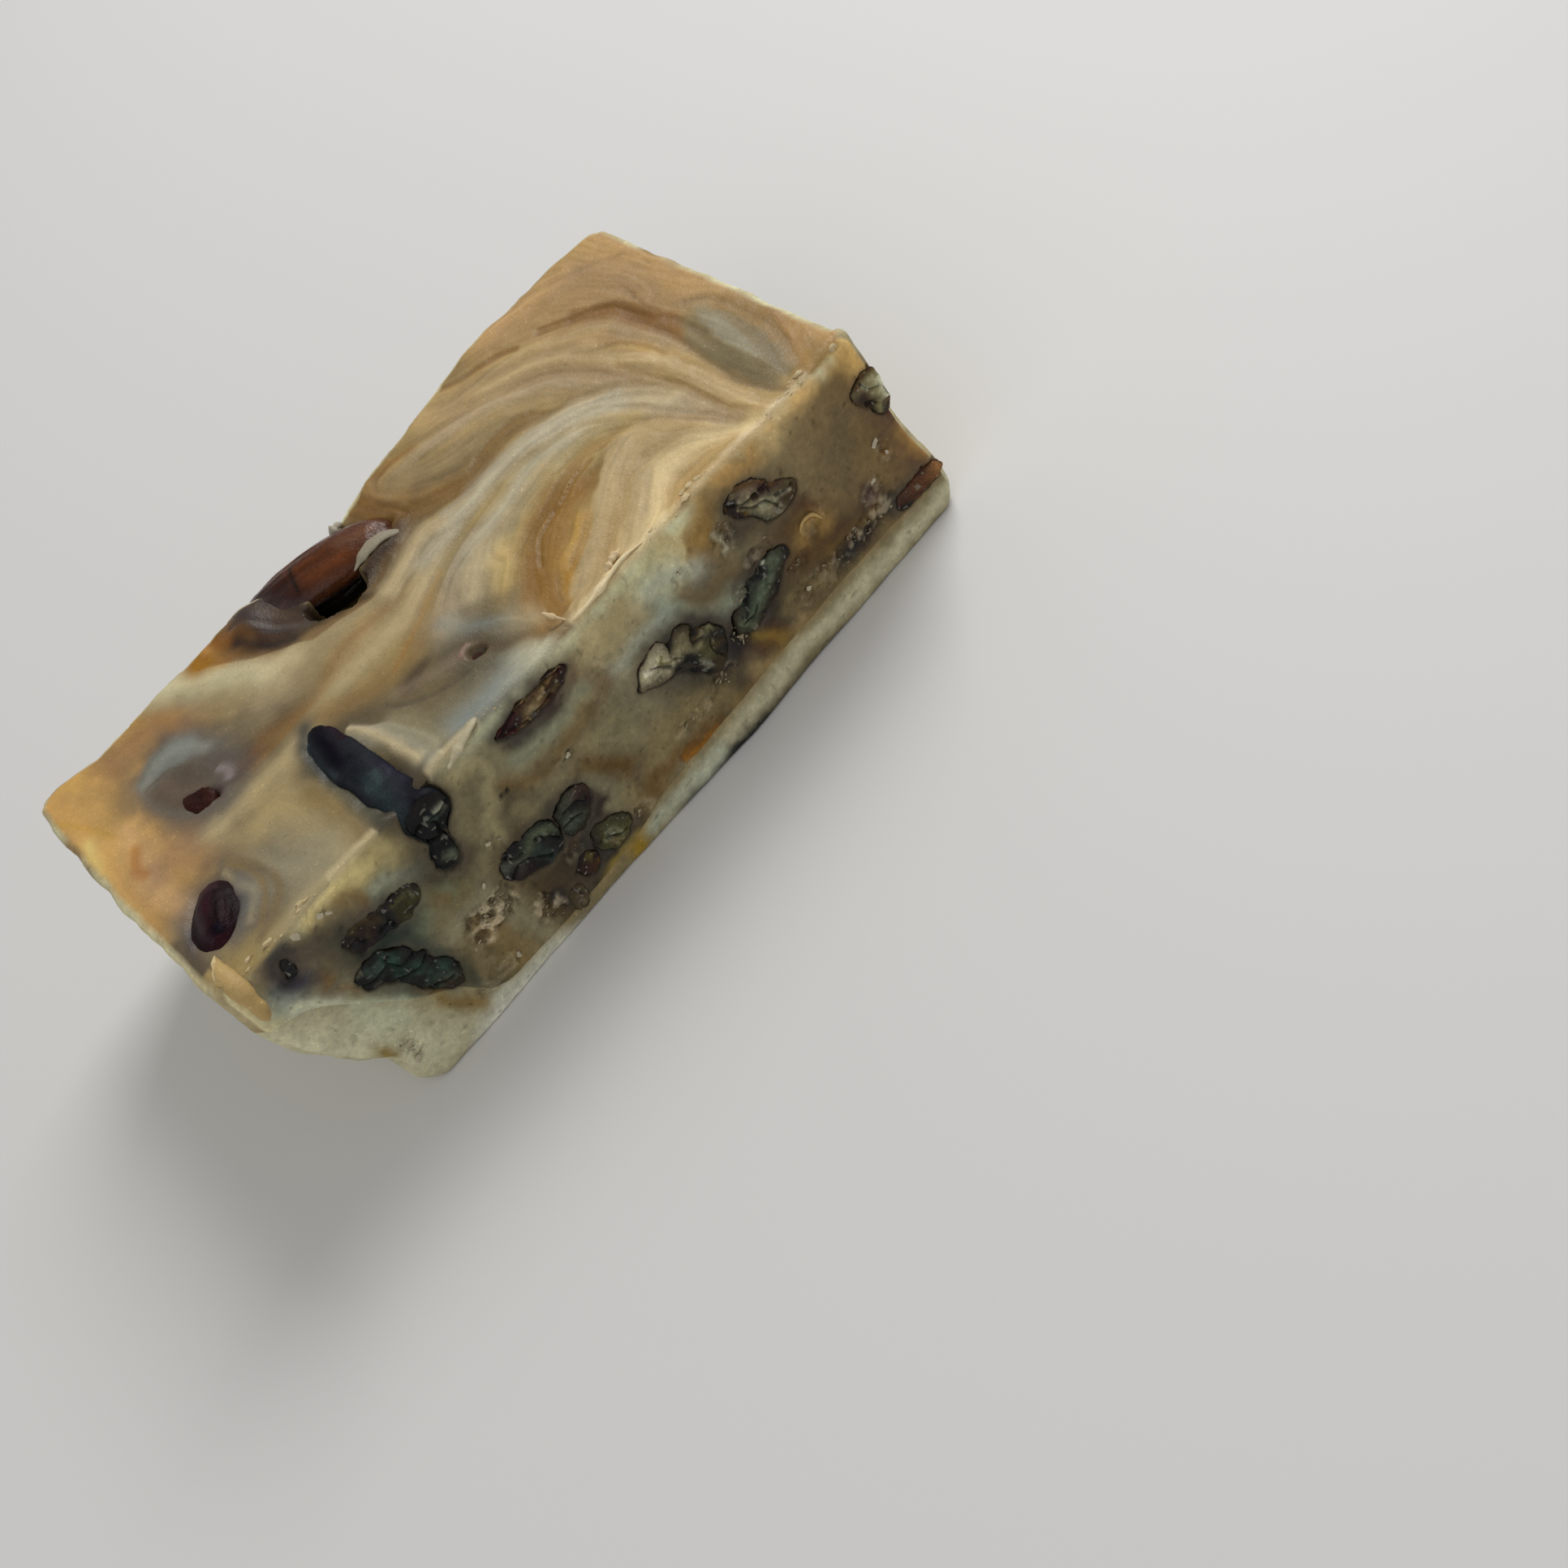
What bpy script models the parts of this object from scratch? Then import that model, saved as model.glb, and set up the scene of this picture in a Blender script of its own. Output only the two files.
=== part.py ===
"""A half-pound slice of pecan fudge: a pale vanilla base layer, a marbled caramel
layer poured over it, and pecan pieces that show on its top and its cut sides.

The slice lies flat on its base. X runs along its length, Y from the front cut face
(-Y) to the back one, Z up from the table. Sizes are in millimetres and angles in
degrees; every mesh is scaled to metres as it is made.
"""

import math

import bpy
import numpy as np

MM = 0.001

# Driving sizes of the slice
HEIGHT = 31.0
FRONT_FOOT = -29.2          # front cut face at the table
FRONT_LEAN = 2.7            # how far it leans back at the top
BACK_FACE = 28.4
GAP = 0.35                  # clearance round every pecan and along the seam
CORNER_PULL = 0.4           # upright corners drawn in
END_ROUND = 3.4             # bottom edge radius at both ends, from the pan
SIDE_ROUND = 0.7            # bottom edge radius along both cut faces
TOP_ROUND = 1.3             # top edge radius
FRONT_TOP_SHARP = 0.5       # share of it along the sharper front edge
ROUGH_NEAR = -55.0          # near end and length, for sizes that change along the slice
ROUGH_LENGTH = 108.0

# Grid of the two fudge layers
CELLS_LONG = 30
CELLS_WIDE = 14
ROWS_BASE = (0.0, 0.2, 0.4, 0.65, 0.85, 1.0)     # shares of the height, where it is thin
ROWS_TALL = (0.0, 0.035, 0.13, 0.36, 0.48, 1.0)  # and where it climbs the near end
TALL_FROM = 6.0
TALL_AT = 22.0
ROWS_MARBLE = (0.0, 0.4, 0.75, 0.955, 1.0)

# The near end bellies out above a step, read as (height, x)
NEAR_END = ((0.0, -49.3), (8.5, -49.5), (10.5, -51.4), (14.0, -53.2), (19.0, -55.0),
            (25.0, -55.9), (31.0, -55.6))
NEAR_BOW = 1.1              # and it bows out towards the back
NEAR_BOW_AT = 10.0
NEAR_BOW_REACH = 39.0

# The far end slants out to its foot
FAR_END = ((0.0, 54.5), (5.0, 54.5), (10.0, 53.6), (15.0, 52.6), (20.0, 52.3),
           (25.0, 52.6), (31.0, 52.2))
FAR_SKEW = 0.04             # further out towards the back

# The foot of the front face bulges out unevenly, as (x, bulge), up to a height
FRONT_BULGE = ((-50.0, 0.4), (-20.0, 0.1), (0.0, 0.8), (12.0, 1.3), (24.0, 0.8),
               (55.0, 0.7))
FRONT_BULGE_TO = 8.0

# The top edge of the back face is uneven, hollow where the largest pecan lies: (x, y)
BACK_EDGE = ((-57.0, 28.5), (-52.0, 28.6), (-46.0, 26.2), (-38.0, 26.9), (-30.0, 26.5),
             (-24.0, 26.6), (-19.0, 24.8), (-8.0, 23.6), (-4.5, 22.4), (-1.5, 24.3),
             (4.0, 26.6), (12.0, 27.6), (20.0, 29.0), (27.0, 31.0), (33.0, 31.2),
             (36.0, 30.4), (45.0, 30.8), (53.0, 29.2))
BACK_EDGE_FROM = 12.0       # height below which the back face is plane

# The seam between the layers, as (x, height), at the front and inside the slice
SEAM_FRONT = ((-58.0, 26.0), (-50.0, 23.0), (-47.0, 19.0), (-45.0, 14.8), (-42.5, 11.2),
              (-40.0, 7.9), (-37.5, 4.8), (-33.0, 2.7), (-24.0, 2.2), (-14.0, 2.3),
              (-8.0, 3.1), (-3.0, 4.3), (8.0, 4.9), (30.0, 5.3), (56.0, 4.7))
SEAM_INSIDE = ((-58.0, 26.0), (-50.0, 21.0), (-46.0, 14.0), (-42.0, 9.0), (-37.0, 6.0),
               (-28.0, 5.0), (56.0, 5.2))
SEAM_FRONT_REACH = 14.0     # depth over which the front seam turns into the inner one
SEAM_WAVE = 0.5

# Corner heights of the top, above or below HEIGHT
TOP_NEAR_FRONT = 0.7
TOP_NEAR_BACK = 0.0
TOP_FAR_FRONT = -1.0
TOP_FAR_BACK = -0.3

# Low mounds on the top over pecans that lie just under it: x, y, half sizes, height, turn
MOUNDS = ((44.0, -14.5, 4.6, 12.5, 0.8, -6.0),
          (-40.0, 9.5, 6.5, 10.0, 0.7, 8.0),
          (-11.0, -12.5, 8.0, 5.5, 0.6, -20.0))

# The knife's burr along the front top edge
BURR_HEIGHT = 0.8
BURR_WIDTH = 2.2
BURR_BACK = 1.6

# Combed swirls fan out from a point by the front edge
SWIRL_X = 38.0
SWIRL_Y = -27.0
SWIRL_PITCH = 9.0
SWIRL_DEPTH = 0.22

# Colours, roughness
CREAM = (0.53, 0.47, 0.30)
CARAMEL = (0.40, 0.25, 0.12)
NUT_PALE = (0.22, 0.18, 0.11)
NUT_GREEN = (0.07, 0.09, 0.06)
NUT_DARK = (0.03, 0.03, 0.03)
NUT_SKIN = (0.14, 0.04, 0.015)


def material(name, colour, roughness):
    """A plain Principled material."""
    made = bpy.data.materials.new(name)
    made.use_nodes = True
    shader = made.node_tree.nodes["Principled BSDF"]
    shader.inputs["Base Color"].default_value = (*colour, 1.0)
    shader.inputs["Roughness"].default_value = roughness
    shader.inputs["Metallic"].default_value = 0.0
    return made


def clear_scene():
    """Remove whatever the file opened with."""
    for thing in list(bpy.data.objects):
        bpy.data.objects.remove(thing, do_unlink=True)


def mesh_object(name, points, faces, finish):
    """An object from points in millimetres and its faces."""
    mesh = bpy.data.meshes.new(name)
    mesh.from_pydata((np.asarray(points) * MM).tolist(), [], faces)
    mesh.validate()
    mesh.update()
    made = bpy.data.objects.new(name, mesh)
    bpy.context.scene.collection.objects.link(made)
    if finish is not None:
        mesh.materials.append(finish)
    return made


def curve_at(value, knots):
    """Straight-line reading of a short list of (place, size) pairs."""
    places, sizes = zip(*knots)
    return np.interp(value, places, sizes)


def ease(value):
    """Smooth step from 0 to 1."""
    held = np.clip(value, 0.0, 1.0)
    return held * held * (3.0 - 2.0 * held)


def round_inset(distance, radius):
    """How far an edge of this radius draws in, at a distance from the edge's plane."""
    rise = np.clip(radius - distance, 0.0, radius)
    return radius - np.sqrt(radius * radius - rise * rise)


def near_x(y, z):
    """The near end: its belly by height, bowed along the width."""
    bow = NEAR_BOW * (1.0 - ((y - NEAR_BOW_AT) / NEAR_BOW_REACH) ** 2)
    return curve_at(z, NEAR_END) - bow * ease(z / HEIGHT) + round_inset(z, END_ROUND)


def far_x(y, z):
    """The far end: its slant by height, a little skew across the width."""
    return curve_at(z, FAR_END) + FAR_SKEW * (y + BACK_FACE) - round_inset(z, END_ROUND)


def front_y(x, z):
    """The front cut face leans back and bulges out at its foot."""
    bulge = curve_at(x, FRONT_BULGE) * (1.0 - ease(z / FRONT_BULGE_TO))
    return FRONT_FOOT + FRONT_LEAN * z / HEIGHT - bulge + round_inset(z, SIDE_ROUND)


def back_y(x, z):
    """The back face is plane below and follows its uneven edge at the top."""
    blend = ease((z - BACK_EDGE_FROM) / (HEIGHT - BACK_EDGE_FROM))
    edge = curve_at(x, BACK_EDGE)
    return BACK_FACE + (edge - BACK_FACE) * blend - round_inset(z, SIDE_ROUND)


def seam_z(x, y):
    """Height of the seam between base and marbled layer."""
    inner = ease((y - FRONT_FOOT) / SEAM_FRONT_REACH)
    height = curve_at(x, SEAM_FRONT) * (1.0 - inner) + curve_at(x, SEAM_INSIDE) * inner
    return height + SEAM_WAVE * inner * np.sin(x / 8.0) * np.cos(y / 9.0)


def mound(x, y, shape):
    """A soft oval rise of the given height."""
    centre_x, centre_y, half_x, half_y, height, turn = shape
    angle = math.radians(turn)
    across = (x - centre_x) * math.cos(angle) + (y - centre_y) * math.sin(angle)
    along = (y - centre_y) * math.cos(angle) - (x - centre_x) * math.sin(angle)
    return height * np.exp(-2.0 * ((across / half_x) ** 2 + (along / half_y) ** 2))


def top_z(x, y):
    """Height of the top: a twisted plane, mounds, swirl ridges and the burr."""
    across = (x - ROUGH_NEAR) / ROUGH_LENGTH
    deep = (y + BACK_FACE) / (2.0 * BACK_FACE)
    front = TOP_NEAR_FRONT + (TOP_FAR_FRONT - TOP_NEAR_FRONT) * across
    back = TOP_NEAR_BACK + (TOP_FAR_BACK - TOP_NEAR_BACK) * across
    height = HEIGHT + front + (back - front) * deep
    for shape in MOUNDS:
        height = height + mound(x, y, shape)
    reach = np.hypot(x - SWIRL_X, y - SWIRL_Y)
    height = height + SWIRL_DEPTH * np.sin(2.0 * math.pi * reach / SWIRL_PITCH)
    edge = front_y(x, HEIGHT) + BURR_BACK
    return height + BURR_HEIGHT * np.exp(-((y - edge) / BURR_WIDTH) ** 2)


def place(u, v, z, top_drop):
    """A point of the slice: u along, v across, z up, top_drop below the top."""
    rough_x = ROUGH_NEAR + ROUGH_LENGTH * u
    draw_in = round_inset(top_drop, TOP_ROUND)
    front = front_y(rough_x, z) + FRONT_TOP_SHARP * draw_in
    back = back_y(rough_x, z) - draw_in
    y = front + (back - front) * v
    near = near_x(y, z) + draw_in
    far = far_x(y, z) - draw_in
    x = near + (far - near) * u
    on_corner = ((u == 0.0) | (u == 1.0)) & ((v == 0.0) | (v == 1.0))
    x = x - np.where(on_corner, CORNER_PULL * np.sign(u - 0.5), 0.0)
    y = y - np.where(on_corner, CORNER_PULL * np.sign(v - 0.5), 0.0)
    return np.stack([x, y, z], axis=-1)


def rim_cells():
    """The grid's outer columns in order, once round from the near front corner."""
    front = [(i, 0) for i in range(CELLS_LONG)]
    far = [(CELLS_LONG, j) for j in range(CELLS_WIDE)]
    back = [(i, CELLS_WIDE) for i in range(CELLS_LONG, 0, -1)]
    near = [(0, j) for j in range(CELLS_WIDE, 0, -1)]
    return front + far + back + near


def layer(name, low, high, rows, flat_floor, finish):
    """A fudge layer between two height functions, as a grid of upright columns."""
    u, v = np.meshgrid(np.linspace(0.0, 1.0, CELLS_LONG + 1),
                       np.linspace(0.0, 1.0, CELLS_WIDE + 1), indexing="ij")
    guess = place(u, v, np.full_like(u, HEIGHT), np.full_like(u, HEIGHT))
    floor = low(guess[..., 0], guess[..., 1])
    roof = high(guess[..., 0], guess[..., 1])
    summit = top_z(guess[..., 0], guess[..., 1])
    points = []
    index = {}

    def add_level(level, cells):
        share = rows[level]
        if flat_floor:
            tall = ease((roof - TALL_FROM) / (TALL_AT - TALL_FROM))
            share = rows[level] * (1.0 - tall) + ROWS_TALL[level] * tall
        z = floor + (roof - floor) * share
        grid = place(u, v, z, summit - z)
        for i, j in cells:
            index[level, i, j] = len(points)
            points.append(grid[i, j])

    every = [(i, j) for i in range(CELLS_LONG + 1) for j in range(CELLS_WIDE + 1)]
    rim = rim_cells()
    last = len(rows) - 1
    for level in range(len(rows)):
        whole = level == last or (level == 0 and not flat_floor)
        add_level(level, every if whole else rim)

    faces = []
    for i in range(CELLS_LONG):
        for j in range(CELLS_WIDE):
            square = [(i, j), (i + 1, j), (i + 1, j + 1), (i, j + 1)]
            faces.append([index[last, a, b] for a, b in square])
            if not flat_floor:
                faces.append([index[0, a, b] for a, b in reversed(square)])
    if flat_floor:
        faces.append([index[0, i, j] for i, j in reversed(rim)])
    for level in range(last):
        for step, (i, j) in enumerate(rim):
            a, b = rim[(step + 1) % len(rim)]
            faces.append([index[level, i, j], index[level, a, b],
                          index[level + 1, a, b], index[level + 1, i, j]])
    return mesh_object(name, points, faces, finish)


def nut_outline(half_long, half_wide, tilt, lobes, lobe_depth, turn, count, grow):
    """A cut pecan's lobed outline in its face, grown outwards by a clearance."""
    t = np.arange(count) * 2.0 * math.pi / count
    wave = 1.0 + lobe_depth * np.cos(lobes * t + math.radians(turn))
    flat = np.stack([half_long * np.cos(t) * wave, half_wide * np.sin(t) * wave], axis=-1)
    run = np.roll(flat, -1, axis=0) - np.roll(flat, 1, axis=0)
    out = np.stack([run[:, 1], -run[:, 0]], axis=-1)
    flat = flat + grow * out / np.linalg.norm(out, axis=1)[:, None]
    angle = math.radians(tilt)
    turned = np.stack([flat[:, 0] * math.cos(angle) - flat[:, 1] * math.sin(angle),
                       flat[:, 0] * math.sin(angle) + flat[:, 1] * math.cos(angle)], axis=-1)
    return turned


def on_face(face, along, z, depth):
    """Points at a depth behind one of the four upright faces."""
    if face == "front":
        return np.stack([along, front_y(along, z) + depth, z], axis=-1)
    if face == "back":
        return np.stack([along, back_y(along, z) - depth, z], axis=-1)
    if face == "far":
        return np.stack([far_x(along, z) - depth, along, z], axis=-1)
    return np.stack([near_x(along, z) + depth, along, z], axis=-1)


def rings_closed(rings, start, end, flip):
    """Faces of a stack of equal rings closed by two points."""
    count = len(rings[0])
    points = [start] + [p for ring in rings for p in ring] + [end]
    faces = []
    for k in range(count):
        m = (k + 1) % count
        faces.append([0, 1 + m, 1 + k])
        for r in range(len(rings) - 1):
            low = 1 + r * count
            faces.append([low + k, low + m, low + count + m, low + count + k])
        low = 1 + (len(rings) - 1) * count
        faces.append([low + k, low + m, len(points) - 1])
    if flip:
        faces = [face[::-1] for face in faces]
    return points, faces


# Pecans cut through by a side: name, face, place along it, height, half length, half
# width, tilt, lobes, lobe depth, turn of the lobes, depth into the slice, kind
CUT_NUTS = (
    ("pecan_front_oval", "front", -7.6, 28.2, 5.4, 1.9, 6.0, 3, 0.05, 0.0, 8.0, "skin"),
    ("pecan_front_upper", "front", -37.4, 23.5, 5.6, 2.5, -7.0, 3, 0.12, 40.0, 9.0, "green"),
    ("pecan_front_spot", "front", -48.0, 28.2, 1.0, 1.6, 10.0, 2, 0.05, 0.0, 4.0, "dark"),
    ("pecan_front_near", "front", -39.9, 15.0, 7.8, 2.3, -56.0, 5, 0.16, 30.0, 11.0, "green"),
    ("pecan_front_cluster", "front", -20.1, 13.9, 3.9, 3.3, -20.0, 4, 0.12, 20.0, 9.0, "dark"),
    ("pecan_front_purple", "front", -12.7, 14.3, 2.9, 3.0, 70.0, 3, 0.12, 0.0, 8.0, "green"),
    ("pecan_front_rough", "front", -10.7, 6.4, 3.4, 2.9, -25.0, 4, 0.08, 50.0, 7.0, "green"),
    ("pecan_front_chunk", "front", -16.1, 5.7, 1.4, 2.0, 10.0, 3, 0.10, 0.0, 5.0, "skin"),
    ("pecan_front_low", "front", -19.9, 3.4, 1.3, 1.9, 0.0, 2, 0.05, 0.0, 5.0, "green"),
    ("pecan_front_middle", "front", 9.3, 16.6, 7.6, 3.3, -33.0, 5, 0.15, 100.0, 11.0, "pale"),
    ("pecan_front_slim", "front", 23.7, 13.9, 6.4, 2.5, 24.0, 4, 0.15, 60.0, 10.0, "green"),
    ("pecan_front_far", "front", 30.3, 24.0, 5.6, 2.6, -38.0, 4, 0.12, 0.0, 10.0, "green"),
    ("pecan_front_corner", "front", 50.2, 21.5, 3.0, 3.5, 0.0, 4, 0.10, 45.0, 7.0, "pale"),
    ("pecan_front_strip", "front", 50.4, 6.3, 6.0, 1.4, 0.0, 3, 0.05, 0.0, 8.0, "skin"),
    ("pecan_back_near", "back", -37.0, 18.0, 7.0, 2.8, 28.0, 5, 0.15, 20.0, 10.0, "green"),
    ("pecan_back_low", "back", -21.0, 9.5, 5.2, 2.4, -12.0, 4, 0.12, 60.0, 9.0, "dark"),
    ("pecan_back_middle", "back", 6.0, 19.0, 6.2, 3.0, -30.0, 5, 0.15, 80.0, 10.0, "pale"),
    ("pecan_back_slim", "back", 22.5, 11.5, 5.8, 1.9, 14.0, 3, 0.12, 0.0, 9.0, "green"),
    ("pecan_back_far", "back", 38.5, 21.5, 5.4, 2.9, 40.0, 4, 0.14, 30.0, 9.0, "skin"),
    ("pecan_end_far", "far", 6.0, 15.5, 5.6, 2.6, 24.0, 4, 0.14, 10.0, 9.0, "green"),
    ("pecan_end_near", "near", 9.0, 27.3, 3.8, 1.5, -6.0, 3, 0.10, 0.0, 7.0, "dark"),
)
CUT_COUNT = 14
CUT_RINGS = ((0.0, 1.0), (0.5, 0.87), (0.85, 0.5))
CUT_REACH = 2.5             # a pocket's cutter starts this far outside the face

# Whole pecans that show on the top: name, centre, half sizes, heading, pitch, grooves, kind
TOP_NUTS = (
    ("pecan_top_shiny", (-9.9, 20.1, 28.8), (12.8, 6.0, 3.8), -24.0, 0.0, 4, "skin"),
    ("pecan_top_sunken", (-40.2, 8.6, 27.6), (9.0, 4.6, 3.2), 80.0, -17.0, 3, "dark"),
    ("pecan_top_grey", (-9.6, -12.6, 28.3), (7.4, 3.8, 3.0), -28.0, 10.0, 3, "dark"),
    ("pecan_top_purple", (-49.5, -14.0, 29.5), (6.3, 4.6, 3.0), 52.0, 0.0, 3, "skin"),
)
TOP_COUNT = 14
TOP_RINGS = 7
GROOVE_DEPTH = 0.07

# The long dark pecan lies along Y from the top's middle to the front face
LONG_NUT_NAME = "pecan_top_long"
LONG_NUT_TIP = -1.0
LONG_NUT_X = -25.2
LONG_NUT_Z = 26.6
LONG_NUT_HALF_WIDE = 3.5
LONG_NUT_HALF_HIGH = 5.8
LONG_NUT_BOXY = 0.7         # exponent below one squares the section up
LONG_NUT_WAIST = 0.3        # the groove that parts its two lobes
LONG_NUT_WAIST_Z = -1.1
LONG_NUT_WAIST_REACH = 1.8
LONG_NUT_RINGS = ((0.0, 1.0), (0.3, 1.0), (0.55, 0.97), (0.8, 0.8), (0.94, 0.48))
LONG_NUT_SLANT = 0.25       # its cut end leans, and its tip swings to the near side
LONG_NUT_SWING = -2.6

# The dark hollow in the fudge beside the largest pecan
HOLLOW_CENTRE = (-10.5, 12.9, 31.5)
HOLLOW_HALF = (3.6, 3.5, 6.0)


def cut_nut(face, along, height, half_long, half_wide, tilt, lobes, lobe_depth, turn,
            depth, grow):
    """A pecan cut flush with a face; with growth it is the cutter of its pocket."""
    outline = nut_outline(half_long, half_wide, tilt, lobes, lobe_depth, turn,
                          CUT_COUNT, grow)
    levels = list(CUT_RINGS)
    if grow > 0.0:
        levels = [(-CUT_REACH / depth, 1.0)] + levels
    rings = []
    for share, scale in levels:
        a = along + outline[:, 0] * scale
        z = height + outline[:, 1] * scale
        rings.append(on_face(face, a, z, (depth + grow) * share))
    middle = np.array([along]), np.array([height])
    start = on_face(face, *middle, (depth + grow) * levels[0][0])[0]
    end = on_face(face, *middle, depth + grow)[0]
    return rings_closed(rings, start, end, face in ("front", "far"))


def long_nut(grow):
    """The long pecan: two stacked lobes in section, tapering to its tip."""
    reach = LONG_NUT_TIP - float(front_y(LONG_NUT_X, HEIGHT))
    t = np.arange(CUT_COUNT) * 2.0 * math.pi / CUT_COUNT
    wide = np.sign(np.cos(t)) * np.abs(np.cos(t)) ** LONG_NUT_BOXY
    high = np.sign(np.sin(t)) * np.abs(np.sin(t)) ** LONG_NUT_BOXY
    flat = np.stack([LONG_NUT_HALF_WIDE * wide, LONG_NUT_HALF_HIGH * high], axis=-1)
    waist = np.exp(-((flat[:, 1] - LONG_NUT_WAIST_Z) / LONG_NUT_WAIST_REACH) ** 2)
    flat[:, 0] *= 1.0 - LONG_NUT_WAIST * waist
    levels = list(LONG_NUT_RINGS)
    if grow > 0.0:
        levels = [(-CUT_REACH / reach, 1.0)] + levels
    rings = []
    for share, scale in levels:
        size = scale + grow / LONG_NUT_HALF_WIDE
        slant = LONG_NUT_SLANT * flat[:, 1] * (1.0 - max(share, 0.0))
        x = LONG_NUT_X + LONG_NUT_SWING * share + flat[:, 0] * size + slant
        z = LONG_NUT_Z + flat[:, 1] * size
        rings.append(on_face("front", x, z, np.full_like(x, reach * share)))
    start = rings[0].mean(axis=0)
    end = on_face("front", np.array([LONG_NUT_X + LONG_NUT_SWING]),
                  np.array([LONG_NUT_Z]), np.array([reach + grow]))[0]
    return rings_closed(rings, start, end, True)


def whole_nut(centre, half_sizes, heading, pitch, grooves, grow):
    """A whole pecan half: an egg drawn out along its length, with long grooves."""
    half_long, half_wide, half_thick = (size + grow for size in half_sizes)
    rings = []
    for r in range(1, TOP_RINGS):
        polar = math.pi * r / TOP_RINGS
        a = np.arange(TOP_COUNT) * 2.0 * math.pi / TOP_COUNT
        swell = 1.0 - GROOVE_DEPTH * (0.5 - 0.5 * np.cos(grooves * a)) * math.sin(polar)
        x = np.full_like(a, -half_long * math.cos(polar))
        y = half_wide * math.sin(polar) * np.cos(a) * swell
        z = half_thick * math.sin(polar) * np.sin(a) * swell
        rings.append(np.stack([x, y, z], axis=-1))
    start = np.array([-half_long, 0.0, 0.0])
    end = np.array([half_long, 0.0, 0.0])
    points, faces = rings_closed(rings, start, end, False)
    turn, nod = math.radians(heading), math.radians(pitch)
    lift = np.array([[math.cos(nod), 0.0, -math.sin(nod)], [0.0, 1.0, 0.0],
                     [math.sin(nod), 0.0, math.cos(nod)]])
    spin = np.array([[math.cos(turn), -math.sin(turn), 0.0],
                     [math.sin(turn), math.cos(turn), 0.0], [0.0, 0.0, 1.0]])
    return np.array(points) @ (spin @ lift).T + np.array(centre), faces


def held_inside(points, face):
    """A corner pecan is cut by the far end too: its points stop at that face."""
    points = np.array(points)
    if face == "front":
        limit = far_x(points[:, 1], points[:, 2])
        points[:, 0] = np.minimum(points[:, 0], limit)
    return points


def hollow():
    """The cutter of the dark hollow, a plain ellipsoid."""
    return whole_nut(HOLLOW_CENTRE, HOLLOW_HALF, 0.0, 0.0, 0, 0.0)


def main():
    clear_scene()
    cream = material("vanilla_fudge", CREAM, 0.55)
    caramel = material("caramel_fudge", CARAMEL, 0.45)
    nuts = {"pale": material("nut_pale", NUT_PALE, 0.6),
            "green": material("nut_green", NUT_GREEN, 0.5),
            "dark": material("nut_dark", NUT_DARK, 0.35),
            "skin": material("nut_skin", NUT_SKIN, 0.3)}

    base = layer("vanilla_base", lambda x, y: np.zeros_like(x), seam_z, ROWS_BASE,
                 True, cream)
    marble = layer("marbled_layer", lambda x, y: seam_z(x, y) + GAP, top_z, ROWS_MARBLE,
                   False, caramel)

    cutters = bpy.data.collections.new("pockets")
    bpy.context.scene.collection.children.link(cutters)

    def add_cutter(name, points, faces):
        cutter = mesh_object(name, points, faces, None)
        bpy.context.scene.collection.objects.unlink(cutter)
        cutters.objects.link(cutter)
        cutter.hide_render = True
        cutter.display_type = "WIRE"

    for name, face, *shape, kind in CUT_NUTS:
        points, faces = cut_nut(face, *shape, 0.0)
        mesh_object(name, held_inside(points, face), faces, nuts[kind])
        add_cutter(name + "_pocket", *cut_nut(face, *shape, GAP))
    for name, *shape, kind in TOP_NUTS:
        mesh_object(name, *whole_nut(*shape, 0.0), nuts[kind])
        add_cutter(name + "_pocket", *whole_nut(*shape, GAP))
    mesh_object(LONG_NUT_NAME, *long_nut(0.0), nuts["dark"])
    add_cutter(LONG_NUT_NAME + "_pocket", *long_nut(GAP))
    add_cutter("hollow", *hollow())

    for fudge in (base, marble):
        cut = fudge.modifiers.new("pockets", "BOOLEAN")
        cut.operation = "DIFFERENCE"
        cut.operand_type = "COLLECTION"
        cut.collection = cutters
        cut.solver = "EXACT"
        cut.use_self = True


main()
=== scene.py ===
# %% [markdown]
# A slice of pecan fudge
#
# The real thing is a hand-cut slice: a pale vanilla base, a caramel and vanilla layer
# stirred over it, and pecan halves, some whole on the top and some cut through by the
# knife. This lesson dresses the plain CAD solids. It works in millimetres, turns each
# piece into metres as it is made, and keeps every pecan where its solid lies.

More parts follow.
